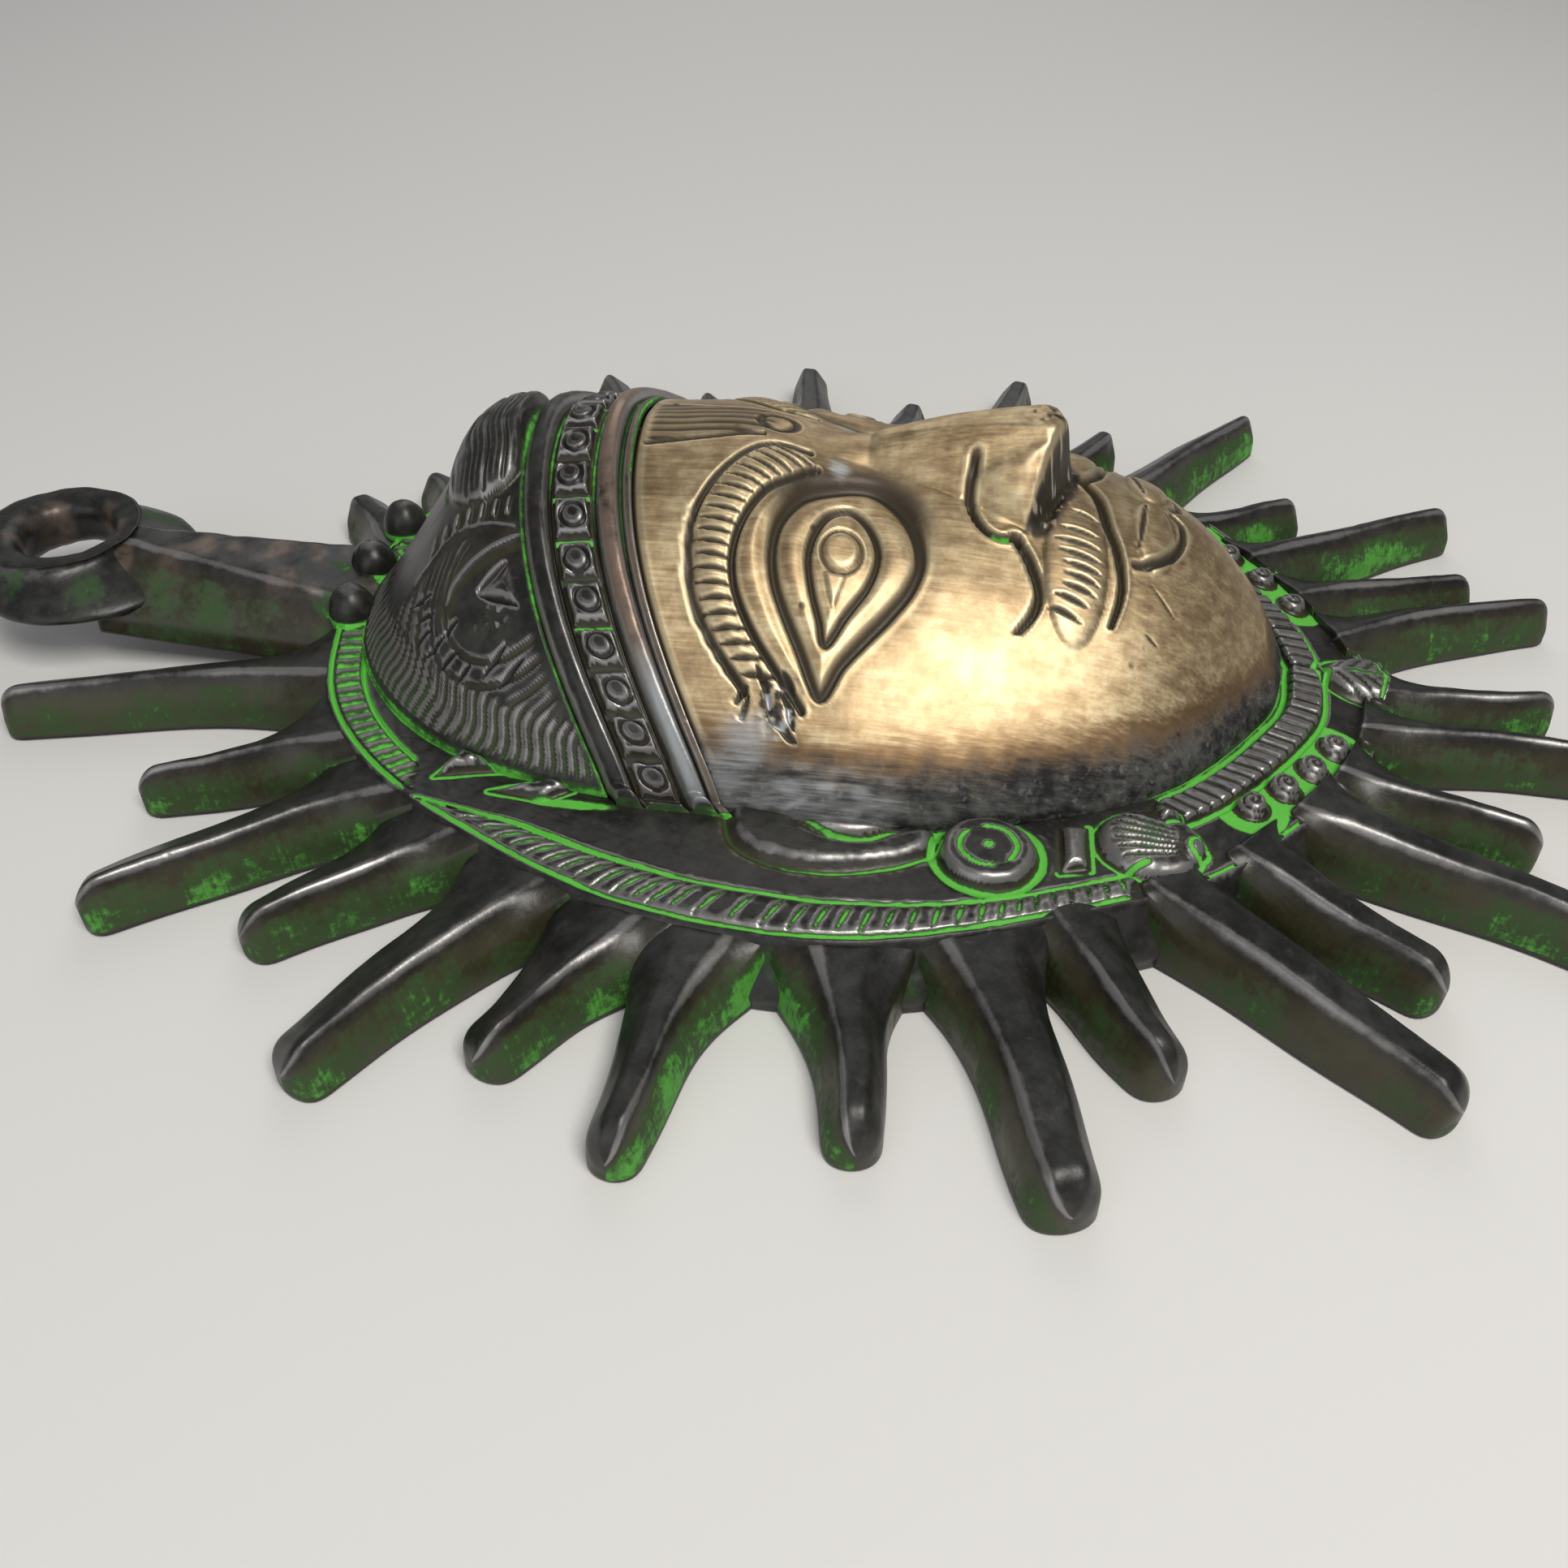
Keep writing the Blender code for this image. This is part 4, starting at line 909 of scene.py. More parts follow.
def make_head(materials):
    """Face, headband and turban as three strips that meet along the headband's edges."""
    lower_edge = lambda x: band_edge(x) - BAND_WIDTH
    chin = HEAD_FOOT_Y + 0.03 + 9 * np.linspace(0, 1, 26)[:-1] ** 2
    rows = np.concatenate([chin, spaced((-54.5, -47, -27, -17, 12.5, 19.9), (16, 70, 22, 122, 12))])
    head_piece("rubbed_face", column_shares(150, 20), rows, (lower_edge, None), face_relief, materials["face"], "foot")
    rows = spaced((6.8, 19.9), (98,))
    head_piece("tiled_headband", column_shares(300, 60), rows, (band_edge, lower_edge), headband_relief,
               materials["patina"], "", 1.2)
    crown = HEAD_TOP_Y - 0.03 - 12 * np.linspace(1, 0, 76)[1:] ** 2
    rows = np.concatenate([spaced((33.0, 46.4), (108,)), crown])
    head_piece("turban", column_shares(150, 24), rows, (None, band_edge), turban_relief, materials["patina"], "crown")


def make_collar(materials):
    """Ring of plate between head and rays, down its rounded skirt to the flat back rim."""
    count = 1300
    angle = (np.arange(count) / count * 2 - 1) * math.pi
    head, plate = head_radius(angle) - 0.6, plate_radius(angle)
    shares = np.linspace(0, 1, 64)[:, None]
    reach = head + (plate - head) * shares
    at = np.broadcast_to(angle, reach.shape)
    x, y = reach * np.sin(at), -reach * np.cos(at)
    relief = collar_relief(x.ravel(), y.ravel(), at.ravel(), reach.ravel())
    crests_and_hollows(relief, x.shape, True)
    inner = 1 - ease(reach - head, 0.0, 0.7)
    height = plate_height(y) + relief.rise.reshape(x.shape) * (1 - inner) - 1.5 * inner
    skirt = ((0.4, 0.84), (0.8, 0.62), (1.7, 0.48), (2.4, 0.38), (3.0, 0.24), (3.0, 0.0), (SKIRT_REACH - BACK_RIM, 0.0))
    rows_x, rows_y, rows_h = [x], [y], [height]
    marks = {key: [values.reshape(x.shape)] for key, values in relief.marks.items()}
    for out, share in skirt:
        wobble = 0.25 * unevenness(plate * np.sin(angle), -plate * np.cos(angle), 5.0, out)
        edge = plate + out + (wobble if 0 < share < 0.8 else 0)
        rows_x.append((edge * np.sin(angle))[None])
        rows_y.append((-edge * np.cos(angle))[None])
        rows_h.append((plate_height(-edge * np.cos(angle)) * share)[None])
        for key, values in marks.items():
            painted = 0.5 * (0.5 + 0.5 * unevenness(edge * np.sin(angle), -edge * np.cos(angle), 7.0, 2.0))
            values.append((painted if key == "green" and share > 0.2 else np.zeros(count))[None])
    x, y, height = np.vstack(rows_x), np.vstack(rows_y), np.vstack(rows_h)
    marks = {key: np.vstack(values) for key, values in marks.items()}
    points = np.stack([x.ravel(), y.ravel(), height.ravel()], 1)
    quads = grid_quads(*x.shape, wraps=True)[:, ::-1]
    make_piece("collar", points, quads, marks, materials["patina"])


def make_back(materials):
    """Open hollow behind the face: the front's dome a wall's thickness lower, with the casting's rough skin."""
    count, steps = 300, 60
    angle = (np.arange(count) / count * 2 - 1) * math.pi
    hollow = plate_radius(angle) + SKIRT_REACH - BACK_RIM + 0.05
    shares = np.linspace(1, 0.004, steps)[:, None]
    reach = hollow * shares
    at = np.broadcast_to(angle, reach.shape)
    x, y = reach * np.sin(at), -reach * np.cos(at)
    under = plate_height(y) - WALL + head_dome(x, y, WALL)
    depth = ease(hollow - reach, 0, WALL)
    rough = 0.22 * unevenness(x, y, 3.4, 0.5) + 0.1 * unevenness(x, y, 1.3, 1.5)
    height = (under + rough - 0.3) * depth
    marks = {name: np.zeros(x.size) for name in MARKS}
    marks["olive"] = ease(height.ravel(), 1, 6)
    points = np.stack([x.ravel(), y.ravel(), height.ravel()], 1)
    quads = grid_quads(*x.shape, wraps=True)
    middle = np.arange(count) + (steps - 1) * count
    points = np.vstack([points, [[0, 0, height[-1].mean()]]])
    marks = {key: np.append(values, values[-1]) for key, values in marks.items()}
    fan = np.stack([middle[0::2], np.roll(middle, -1)[0::2], np.roll(middle, -2)[0::2],
                    np.full(count // 2, len(points) - 1)], 1)
    make_piece("hollow_back", points, np.vstack([quads, fan]), marks, materials["back"])


def ray_section(ridge, flat, sides):
    """Side and height shares of a ray's section: vertical far edge, sloping top, ridge, steep flank; softened."""
    corners = np.array(((-1, 0), (-0.95, 0.55), (ridge - flat, 1), (ridge + flat, 1), (0.94, 0.42), (1, 0)))
    lengths = np.concatenate([[0], np.cumsum(np.hypot(*np.diff(corners, axis=0).T))])
    at = np.linspace(0, lengths[-1], sides)
    side, height = (np.interp(at, lengths, corners[:, k]) for k in (0, 1))
    for _ in range(3):
        side[1:-1] = (side[:-2] + 2 * side[1:-1] + side[2:]) / 4
        height[1:-1] = (height[:-2] + 2 * height[1:-1] + height[2:]) / 4
    return side, height


def ray_points(number, steps=46, sides=40):
    """One ray as rings of points: its section swept from the plate's edge to a blunt, rounded tip."""
    tip_x, tip_y, ridge, flat, bow, tip_width, paint = RAYS[number]
    last = len(RAYS) - 1
    degrees = -RAY_ROOTS[number] if number < len(RAY_ROOTS) else RAY_ROOTS[last - number]
    angle = math.radians(degrees)
    edge = np.array([math.sin(angle), -math.cos(angle)])
    laps = float(ease(np.float64(-edge[1] * plate_radius(angle)), 22, 40))
    root = edge * (plate_radius(angle) - 3.2 - 1.6 * laps)
    run = np.array([tip_x, tip_y]) - root
    length = np.hypot(*run)
    forward = run / length
    across = np.array([-forward[1], forward[0]])
    towards_viewer = 1.0 if forward[1] > 0 else -1.0

    head_end, tip_end = 3.2 / length, 3.4 / length
    start = 1 - np.cos(np.linspace(0, math.pi / 2, 9))
    end = np.sin(np.linspace(0, math.pi / 2, 13))
    along = np.concatenate([start * head_end, np.linspace(head_end, 1 - tip_end, steps - 20)[1:-1],
                            1 - tip_end + end * tip_end])
    into_head = 1 - np.clip(along / head_end, 0, 1)
    into_tip = np.clip((along - 1 + tip_end) / tip_end, 0, 1)
    round_head = np.sqrt(np.clip(1 - laps * into_head**2.2, 0.02, 1))
    round_tip = np.sqrt(np.clip(1 - into_tip**3.4, 0.0006, 1))
    half = (RAY_ROOT_WIDTH + (tip_width - RAY_ROOT_WIDTH) * along**0.8) / 2
    half = half + RAY_ROOT_FLARE * (1 - laps) * np.exp(-((along * length / 7.5) ** 2))
    half = half * (1 + 0.03 * np.sin(along * 8 + number)) * round_head * round_tip
    root_height = float(plate_height(root[1])) * (0.99 + 0.01 * laps) + 1.3 * laps
    thick = root_height + (RAY_TIP_THICKNESS - root_height) * along**0.9
    thick = thick * (1 - 0.02 * along * (1 + np.sin(along * 7 + 2 * number))) * (0.8 + 0.2 * round_head)
    thick = thick * (1 - 0.3 * into_tip**2.0) * (0.6 + 0.4 * round_tip)

    side, section = ray_section(ridge, flat, sides)
    if towards_viewer < 0:
        side, section = -side[::-1], section[::-1]
    shift = bow * np.sin(math.pi * along) + 0.15 * np.sin(along * 11 + number)
    middle = root + np.outer(along * length, forward) + np.outer(shift, across)
    plan = middle[:, None, :] + across * (side * half[:, None])[:, :, None]
    from_centre = np.hypot(plan[..., 0], plan[..., 1])
    limit = plate_radius(np.arctan2(plan[..., 0], -plan[..., 1])) - RAY_ROOT_DEPTH
    kept = limit + 0.1 * (from_centre - limit)
    plan = plan * (np.maximum(from_centre, kept) / from_centre)[..., None]
    at_plate = np.exp(-((along * length / 6.5) ** 2))[:, None] * ease(section, 0.25, 0.5)
    height = (section + (0.985 - section) * at_plate) * thick[:, None]
    dents = 0.1 * unevenness(plan[..., 0], plan[..., 1], 4.5, number) - 0.1
    height = np.maximum(height + dents * section, 0.02)
    points = np.concatenate([plan, height[..., None]], -1)

    down_flank = (side * towards_viewer - ridge - flat) / (1 - ridge - flat)
    flank = np.maximum(ease(down_flank, 0.1, 0.5), 0.7 * ease(-side * towards_viewer, 0.86, 0.98))
    flank = flank * (1 - 0.8 * at_plate * (1 - ease(down_flank, 0.7, 0.95))) * ease(section, 0.0, 0.06)
    low = ease(down_flank, 0.45, 0.95)
    patches = unevenness(plan[..., 0], plan[..., 1], 10.0, number * 0.7)
    near_root = np.exp(-(((along * length - 2.5) / 4.0) ** 2))[:, None]
    green = flank * (0.1 + paint * 0.5 + 0.12 * low + 0.15 * patches + 0.1 * near_root)
    # Painted highlight along the ridge and its edge on the viewer's side, with some rubbing, brighter towards the tip
    on_ridge = np.exp(-((np.maximum(np.abs(side * towards_viewer - ridge) - flat, 0) / 0.10) ** 2))
    on_edge = np.exp(-(((side * towards_viewer - ridge - flat) / 0.10) ** 2))
    wear_and_sheen = 0.75 + 0.25 * np.sin(along * 8 + number) + 0.3 * into_tip
    crest_and_highlight = np.maximum(on_edge, 0.25 * on_ridge) * wear_and_sheen[:, None]
    run_along = np.broadcast_to((along * length + 60.0 * number)[:, None], height.shape)
    return points, {"green": green, "crest_and_highlight": crest_and_highlight, "olive": 0.8 * flank + 0 * height, "run": run_along}


def cap_quads(ring, flipped):
    """Quads that close a ring of point numbers by joining each point to its mirror across the ring."""
    half = len(ring) // 2
    back = ring[::-1]
    cap = np.stack([ring[:half - 1], ring[1:half], back[1:half], back[:half - 1]], 1)
    return cap[:, ::-1] if flipped else cap


def make_rays(materials):
    """All rays in one mesh, each closed along its back and at both ends."""
    points, quads = [], []
    marks = {name: [] for name in MARKS + ("run",)}
    start = 0
    for number in range(len(RAYS)):
        rings, ray_marks = ray_points(number)
        rows, sides = rings.shape[:2]
        index = np.arange(rows * sides).reshape(rows, sides) + start
        quads.append(grid_quads(rows, sides, wraps=True, start=start))
        quads.append(cap_quads(index[0], True))
        quads.append(cap_quads(index[-1], False))
        points.append(rings.reshape(-1, 3))
        for name, values in marks.items():
            values.append(ray_marks.get(name, np.zeros((rows, sides))).ravel())
        start += rows * sides
    marks = {name: np.concatenate(values) for name, values in marks.items()}
    make_piece("rays", np.vstack(points), np.vstack(quads)[:, ::-1], marks, materials["rays"])


def make_ring(materials):
    """Hanging ring: squared section of rounded corners, its outer flank sloping more towards the stem."""
    turns, sides = 160, 64
    turn = (np.arange(turns) / turns * 2 * math.pi)[:, None]
    side = (np.arange(sides) / sides * 2 * math.pi)[None, :]
    outward = np.sign(np.cos(side)) * np.abs(np.cos(side)) ** 0.7
    upward = np.sign(np.sin(side)) * np.abs(np.sin(side)) ** 0.7
    slope = RING_FLANK_SLOPE * np.sin(turn / 2) ** 2 * np.maximum(outward, 0) ** 2 * upward
    reach = (RING_BORE + RING_SECTION) / 2 + RING_SECTION / 2 * outward - slope
    reach = reach - 0.22 * (1 + unevenness(np.sin(turn) * 9, np.cos(turn) * 9, 6.0, 0.9)) * np.maximum(outward, 0)
    h = RING_LIFT + RING_SECTION / 2 * (1 + upward) - 0.16 * (1 + unevenness(np.sin(turn) * 11, np.cos(turn) * 11, 5.0, 2.9))
    x, y = reach * np.sin(turn), RING_CENTRE_Y + reach * np.cos(turn)
    points = np.stack([x.ravel(), y.ravel(), h.ravel()], 1)
    index = np.arange(turns * sides).reshape(turns, sides)
    index = np.vstack([index, index[:1]])
    index = np.hstack([index, index[:, :1]])
    quads = np.stack([index[:-1, :-1], index[:-1, 1:], index[1:, 1:], index[1:, :-1]], -1).reshape(-1, 4)
    marks = {name: np.zeros(len(points)) for name in MARKS}
    # Painted highlight on the upper outer corner of the ring's section
    corner = np.clip(outward * upward, 0, 1) * (np.sin(side) > 0) + 0 * turn
    marks["crest_and_highlight"] = (0.95 * corner.ravel()) ** 1.5
    in_bore = ease(-outward, 0.3, 0.8) + 0 * turn
    marks["brass"] = (0.55 * in_bore * ease(unevenness(x, y, 7.0, 0.4), -0.2, 0.4)).ravel()
    marks["green"] = (0.5 * ease(outward, 0.3, 0.9) * (0.5 + 0.5 * unevenness(x, y, 8.0, 1.4))).ravel()
    make_piece("hanging_ring", points, quads[:, ::-1], marks, materials["patina"])


def stem_section(top, sides):
    """Side and height shares of the stem over its top, for each share of flat top, with softened corners."""
    corners = np.array(((-1, 0.05), (-0.96, 0.35), (-1, 1.0), (1, 1.0), (0.96, 0.35), (1, 0.05)))
    lengths = np.array((0.0, 0.3, 1.25, 2.25, 3.2, 3.5))
    at = np.linspace(0, lengths[-1], sides)
    side = np.interp(at, lengths, corners[:, 0])
    on_top = np.abs(at - lengths[-1] / 2) <= 0.5
    outer = np.where(at < lengths[-1] / 2, -1.0, 1.0)
    slope = np.clip((np.abs(at - lengths[-1] / 2) - 0.5) / 0.95, 0, 1)
    side = np.where(on_top, (at - lengths[-1] / 2) * 2 * top, outer * (top + (0.96 - top) * slope))
    side = np.where(slope >= 1, outer * (0.96 + 0.04 * (np.abs(at - lengths[-1] / 2) - 1.45) / 0.3), side)
    height = np.interp(at, lengths, corners[:, 1]) + 0 * side
    for _ in range(3):
        side[:, 1:-1] = (side[:, :-2] + 2 * side[:, 1:-1] + side[:, 2:]) / 4
        height[:, 1:-1] = (height[:, :-2] + 2 * height[:, 1:-1] + height[:, 2:]) / 4
    return side, height


def make_stem(materials):
    """Neck from the crown to the ring: wide sloping flanks and a flat top that narrows to a ridge."""
    steps, sides = 90, 64
    along = np.linspace(0, 1, steps)[:, None]
    top = STEM_TOP_SHARES[0] + (STEM_TOP_SHARES[1] - STEM_TOP_SHARES[0]) * along
    side, section = stem_section(top, sides)
    x = STEM_FOOT_SHIFT * (1 - along) + side * (STEM_HALF_WIDTH - 0.2)
    y = STEM_FOOT_Y + (STEM_HEAD_Y - STEM_FOOT_Y) * along + 0 * side
    lift = STEM_RISE * along
    dents = 0.2 * unevenness(x, y, 5.0, 1.1) - 0.2
    h = lift + section * (STEM_THICKNESS + dents)
    front = np.stack([x, y, h], -1)
    under = np.stack([x[:, ::-1], y, lift + 0.1 + 0 * x], -1)[:, 1:-1]
    rings = np.concatenate([front, under], 1)
    marks = {name: np.zeros(rings.shape[:2]) for name in MARKS}
    # Painted highlight along the top's edges, strongest on the near edge
    near_edge = np.exp(-(((side + top) / 0.06) ** 2))
    far_edge = np.exp(-(((side - top) / 0.06) ** 2))
    marks["crest_and_highlight"][:, :sides] = (0.9 * near_edge + 0.4 * far_edge) * (0.75 + 0.3 * unevenness(x, y, 6.0, 0.6))
    flank = ease(np.abs(side) - top, 0.05, 0.25)
    by_crown = np.exp(-((along / 0.3) ** 2)) * ease(unevenness(x, y, 5.0, 3.0), -0.1, 0.5)
    marks["green"][:, :sides] = flank * (0.32 + 0.15 * unevenness(x, y, 8.0, 2.0)) + 0.72 * by_crown
    marks["olive"][:, :sides] = 0.5 * flank
    marks["brass"][:, :sides] = 0.45 * (1 - ease(np.abs(side), 0.3, 0.7)) * ease(unevenness(x, y, 7.0, 5.0), -0.1, 0.5)
    index = np.arange(rings.shape[0] * rings.shape[1]).reshape(rings.shape[:2])
    quads = [grid_quads(*rings.shape[:2], wraps=True), cap_quads(index[0], True), cap_quads(index[-1], False)]
    make_piece("stem", rings.reshape(-1, 3), np.vstack(quads), marks, materials["patina"])


def make_beads(materials):
    """Three glossy domed beads over the crown where the stem starts."""
    rows, columns = 24, 48
    tilt = np.linspace(0.03, math.pi * 0.62, rows)[:, None]
    turn = (np.arange(columns) / columns * 2 * math.pi)[None, :]
    rise = BEAD_TOP - PLATE_THICKNESS
    for number, (x, y) in enumerate(BEADS):
        points = np.stack([x + BEAD_RADIUS * np.sin(tilt) * np.sin(turn) + 0 * tilt,
                           y - BEAD_RADIUS * np.sin(tilt) * np.cos(turn) + 0 * tilt,
                           PLATE_THICKNESS + rise * np.cos(tilt) + 0 * turn], -1).reshape(-1, 3)
        points[:, 2] += 0.1 * unevenness(points[:, 0], points[:, 1], 3.0, number)
        marks = {name: np.zeros(len(points)) for name in MARKS}
        level = np.broadcast_to(tilt, (rows, columns)).ravel()
        marks["green"] = 0.9 * ease(level, 1.3, 1.6)
        # Painted highlight on each bead's top
        marks["crest_and_highlight"] = 0.5 * (1 - ease(level, 0.2, 0.9))
        top = np.arange(columns)
        quads = [grid_quads(rows, columns, wraps=True), cap_quads(top, False),
                 cap_quads(top + (rows - 1) * columns, True)]
        make_piece(f"crown_bead_{number + 1}", points, np.vstack(quads)[:, ::-1], marks, materials["patina"])


def value_of(tree, socket, value):
    """Links a socket to an output, or writes a plain value on it."""
    if isinstance(value, bpy.types.NodeSocket):
        tree.links.new(value, socket)
    else:
        socket.default_value = value


def calc(tree, operation, a, b=0.0, clamp=False):
    """Math node on two values."""
    made = tree.nodes.new("ShaderNodeMath")
    made.operation = operation
    made.use_clamp = clamp
    value_of(tree, made.inputs[0], a)
    value_of(tree, made.inputs[1], b)
    return made.outputs[0]


def step(tree, value, low, high):
    """Smooth step of a value from low to high."""
    made = tree.nodes.new("ShaderNodeMapRange")
    made.interpolation_type = "SMOOTHSTEP"
    value_of(tree, made.inputs["Value"], value)
    made.inputs["From Min"].default_value = low
    made.inputs["From Max"].default_value = high
    return made.outputs[0]


def blend(tree, factor, a, b, mode="MIX"):
    """Mix of two colours, each a colour or a socket."""
    made = tree.nodes.new("ShaderNodeMix")
    made.data_type = "RGBA"
    made.blend_type = mode
    value_of(tree, made.inputs[0], factor)
    value_of(tree, made.inputs[6], a)
    value_of(tree, made.inputs[7], b)
    return made.outputs[2]


def noise(tree, vector, scale, detail=3.0, roughness=0.55):
    """Noise from 0 to 1 on the given coordinates."""
    made = tree.nodes.new("ShaderNodeTexNoise")
    value_of(tree, made.inputs["Vector"], vector)
    made.inputs["Scale"].default_value = scale
    made.inputs["Detail"].default_value = detail
    made.inputs["Roughness"].default_value = roughness
    return made.outputs["Fac"]


def place_coordinates(tree, stretch=(1, 1, 1)):
    """Object coordinates, stretched along the casting's own axes."""
    coordinates = tree.nodes.new("ShaderNodeTexCoord").outputs["Object"]
    mapping = tree.nodes.new("ShaderNodeMapping")
    mapping.inputs["Scale"].default_value = stretch
    tree.links.new(coordinates, mapping.inputs["Vector"])
    return mapping.outputs[0]


def mark_of(tree, name):
    """A piece's own mark as a value."""
    made = tree.nodes.new("ShaderNodeAttribute")
    made.attribute_name = name
    return made.outputs["Fac"]


def effect_group(name, inputs, outputs, build):
    """A shader node group with named float inputs and outputs, built once."""
    tree = bpy.data.node_groups.new(name, "ShaderNodeTree")
    for label, default in inputs:
        tree.interface.new_socket(label, in_out="INPUT", socket_type="NodeSocketFloat").default_value = default
    for label in outputs:
        tree.interface.new_socket(label, in_out="OUTPUT", socket_type="NodeSocketFloat")
    start = tree.nodes.new("NodeGroupInput")
    end = tree.nodes.new("NodeGroupOutput")
    for socket, value in zip(end.inputs, build(tree, *start.outputs[:len(inputs)])):
        value_of(tree, socket, value)
    return tree


def use_group(tree, group, *values):
    """Places a group and returns its outputs."""
    made = tree.nodes.new("ShaderNodeGroup")
    made.node_tree = group
    for socket, value in zip(made.inputs, values):
        value_of(tree, socket, value)
    return list(made.outputs)


def patina_clouds(tree, size):
    """Cloudy tarnish in two sizes, and fine specks."""
    where = place_coordinates(tree)
    broad = noise(tree, where, 70, 4, 0.6)
    fine = noise(tree, where, 420, 4, 0.65)
    mixed = calc(tree, "ADD", calc(tree, "MULTIPLY", broad, size), calc(tree, "MULTIPLY", fine, 0.5))
    specks = step(tree, noise(tree, where, 900, 2, 0.5), 0.62, 0.72)
    return mixed, specks


def paint_in_recesses(tree, amount, raggedness):
    """Paint left where its mark is high, with ragged edges, and a wider dull stain round it."""
    where = place_coordinates(tree)
    ragged = calc(tree, "SUBTRACT", noise(tree, where, 900, 4, 0.65), 0.5)
    patchy = calc(tree, "SUBTRACT", noise(tree, where, 170, 3, 0.5), 0.5)
    total = calc(tree, "ADD", amount, calc(tree, "MULTIPLY", ragged, raggedness))
    total = calc(tree, "ADD", total, calc(tree, "MULTIPLY", patchy, raggedness))
    return step(tree, total, 0.52, 0.74), step(tree, total, 0.26, 0.54)


def crest_wear_and_highlight(tree, crest_and_highlight, raggedness):
    """Bright rubbing and painted highlight along crests, broken up by fine noise."""
    where = place_coordinates(tree)
    ragged = calc(tree, "SUBTRACT", noise(tree, where, 380, 4, 0.7), 0.5)
    total = calc(tree, "ADD", crest_and_highlight, calc(tree, "MULTIPLY", ragged, raggedness))
    return (step(tree, total, 0.25, 0.95),)


def brush_lines(tree, strength):
    """Fine scratches that run up and down the face."""
    fine = noise(tree, place_coordinates(tree, (2600, 1500, 110)), 1.0, 3, 0.7)
    coarse = noise(tree, place_coordinates(tree, (900, 700, 50)), 1.0, 2, 0.5)
    total = calc(tree, "ADD", calc(tree, "MULTIPLY", fine, 0.6), calc(tree, "MULTIPLY", coarse, 0.4))
    return (calc(tree, "MULTIPLY", calc(tree, "SUBTRACT", total, 0.5), strength),)


def streaks_across(tree, run):
    """Thin dry brush streaks across a ray's flank, one set for each place along the ray."""
    combine = tree.nodes.new("ShaderNodeCombineXYZ")
    value_of(tree, combine.inputs[0], calc(tree, "MULTIPLY", run, 1.9))
    value_of(tree, combine.inputs[1], calc(tree, "MULTIPLY", run, 0.11))
    return (calc(tree, "SUBTRACT", noise(tree, combine.outputs[0], 1.0, 3, 0.65), 0.5),)


def casting_pits(tree, amount):
    """Small round pits of the casting, deep at their middle."""
    cells = tree.nodes.new("ShaderNodeTexVoronoi")
    value_of(tree, cells.inputs["Vector"], place_coordinates(tree))
    cells.inputs["Scale"].default_value = 330
    near = calc(tree, "SUBTRACT", 1.0, step(tree, cells.outputs["Distance"], 0.05, 0.22))
    chosen = step(tree, noise(tree, place_coordinates(tree), 160, 2, 0.5), 0.6, 0.68)
    return (calc(tree, "MULTIPLY", calc(tree, "MULTIPLY", near, chosen), amount),)


GROUPS = {
    "clouds": effect_group("patina_clouds", [("Size", 0.5)], ("Clouds", "Specks"), patina_clouds),
    "paint": effect_group("paint_in_recesses", [("Amount", 0.0), ("Raggedness", 0.5)], ("Paint", "Stain"),
                          paint_in_recesses),
    "wear_and_highlight": effect_group("crest_wear_and_highlight", [("Crest", 0.0), ("Raggedness", 0.5)], ("Wear and highlight",), crest_wear_and_highlight),
    "brush": effect_group("brush_lines", [("Strength", 1.0)], ("Lines",), brush_lines),
    "streaks": effect_group("streaks_across", [("Run", 0.0)], ("Streaks",), streaks_across),
    "pits": effect_group("casting_pits", [("Amount", 1.0)], ("Pits",), casting_pits),
}

PATINA_DARK = (0.0085, 0.0080, 0.0075, 1)
PATINA_LIGHT = (0.036, 0.036, 0.032, 1)
# Colour of rubbed crests, also a painted highlight
PATINA_WEAR_AND_HIGHLIGHT = (0.34, 0.33, 0.32, 1)
OLIVE_DIRT = (0.052, 0.043, 0.018, 1)
GREEN_PAINT = (0.110, 0.50, 0.055, 1)
GREEN_STAIN = (0.024, 0.070, 0.014, 1)
BROWN_METAL = (0.30, 0.215, 0.165, 1)
PATINA_GREY = (0.085, 0.085, 0.080, 1)
BRASS_EDGE = (0.20, 0.120, 0.060, 1)
BRASS_SHADE = (0.30, 0.205, 0.115, 1)
BRASS = (0.53, 0.395, 0.225, 1)
BRASS_PALE = (0.76, 0.655, 0.425, 1)
GROOVE_BROWN = (0.060, 0.044, 0.030, 1)
GROOVE_DARK = (0.018, 0.015, 0.012, 1)
SILVERED = (0.50, 0.52, 0.53, 1)


def new_material(name):
    """An empty node material with its Principled shader."""
    material = bpy.data.materials.new(name)
    material.use_nodes = True
    tree = material.node_tree
    return material, tree, tree.nodes["Principled BSDF"]


def bump(tree, height, strength, distance, normal=None):
    """Bump node on a height."""
    made = tree.nodes.new("ShaderNodeBump")
    made.inputs["Strength"].default_value = strength
    made.inputs["Distance"].default_value = distance
    value_of(tree, made.inputs["Height"], height)
    if normal is not None:
        tree.links.new(normal, made.inputs["Normal"])
    return made.outputs[0]


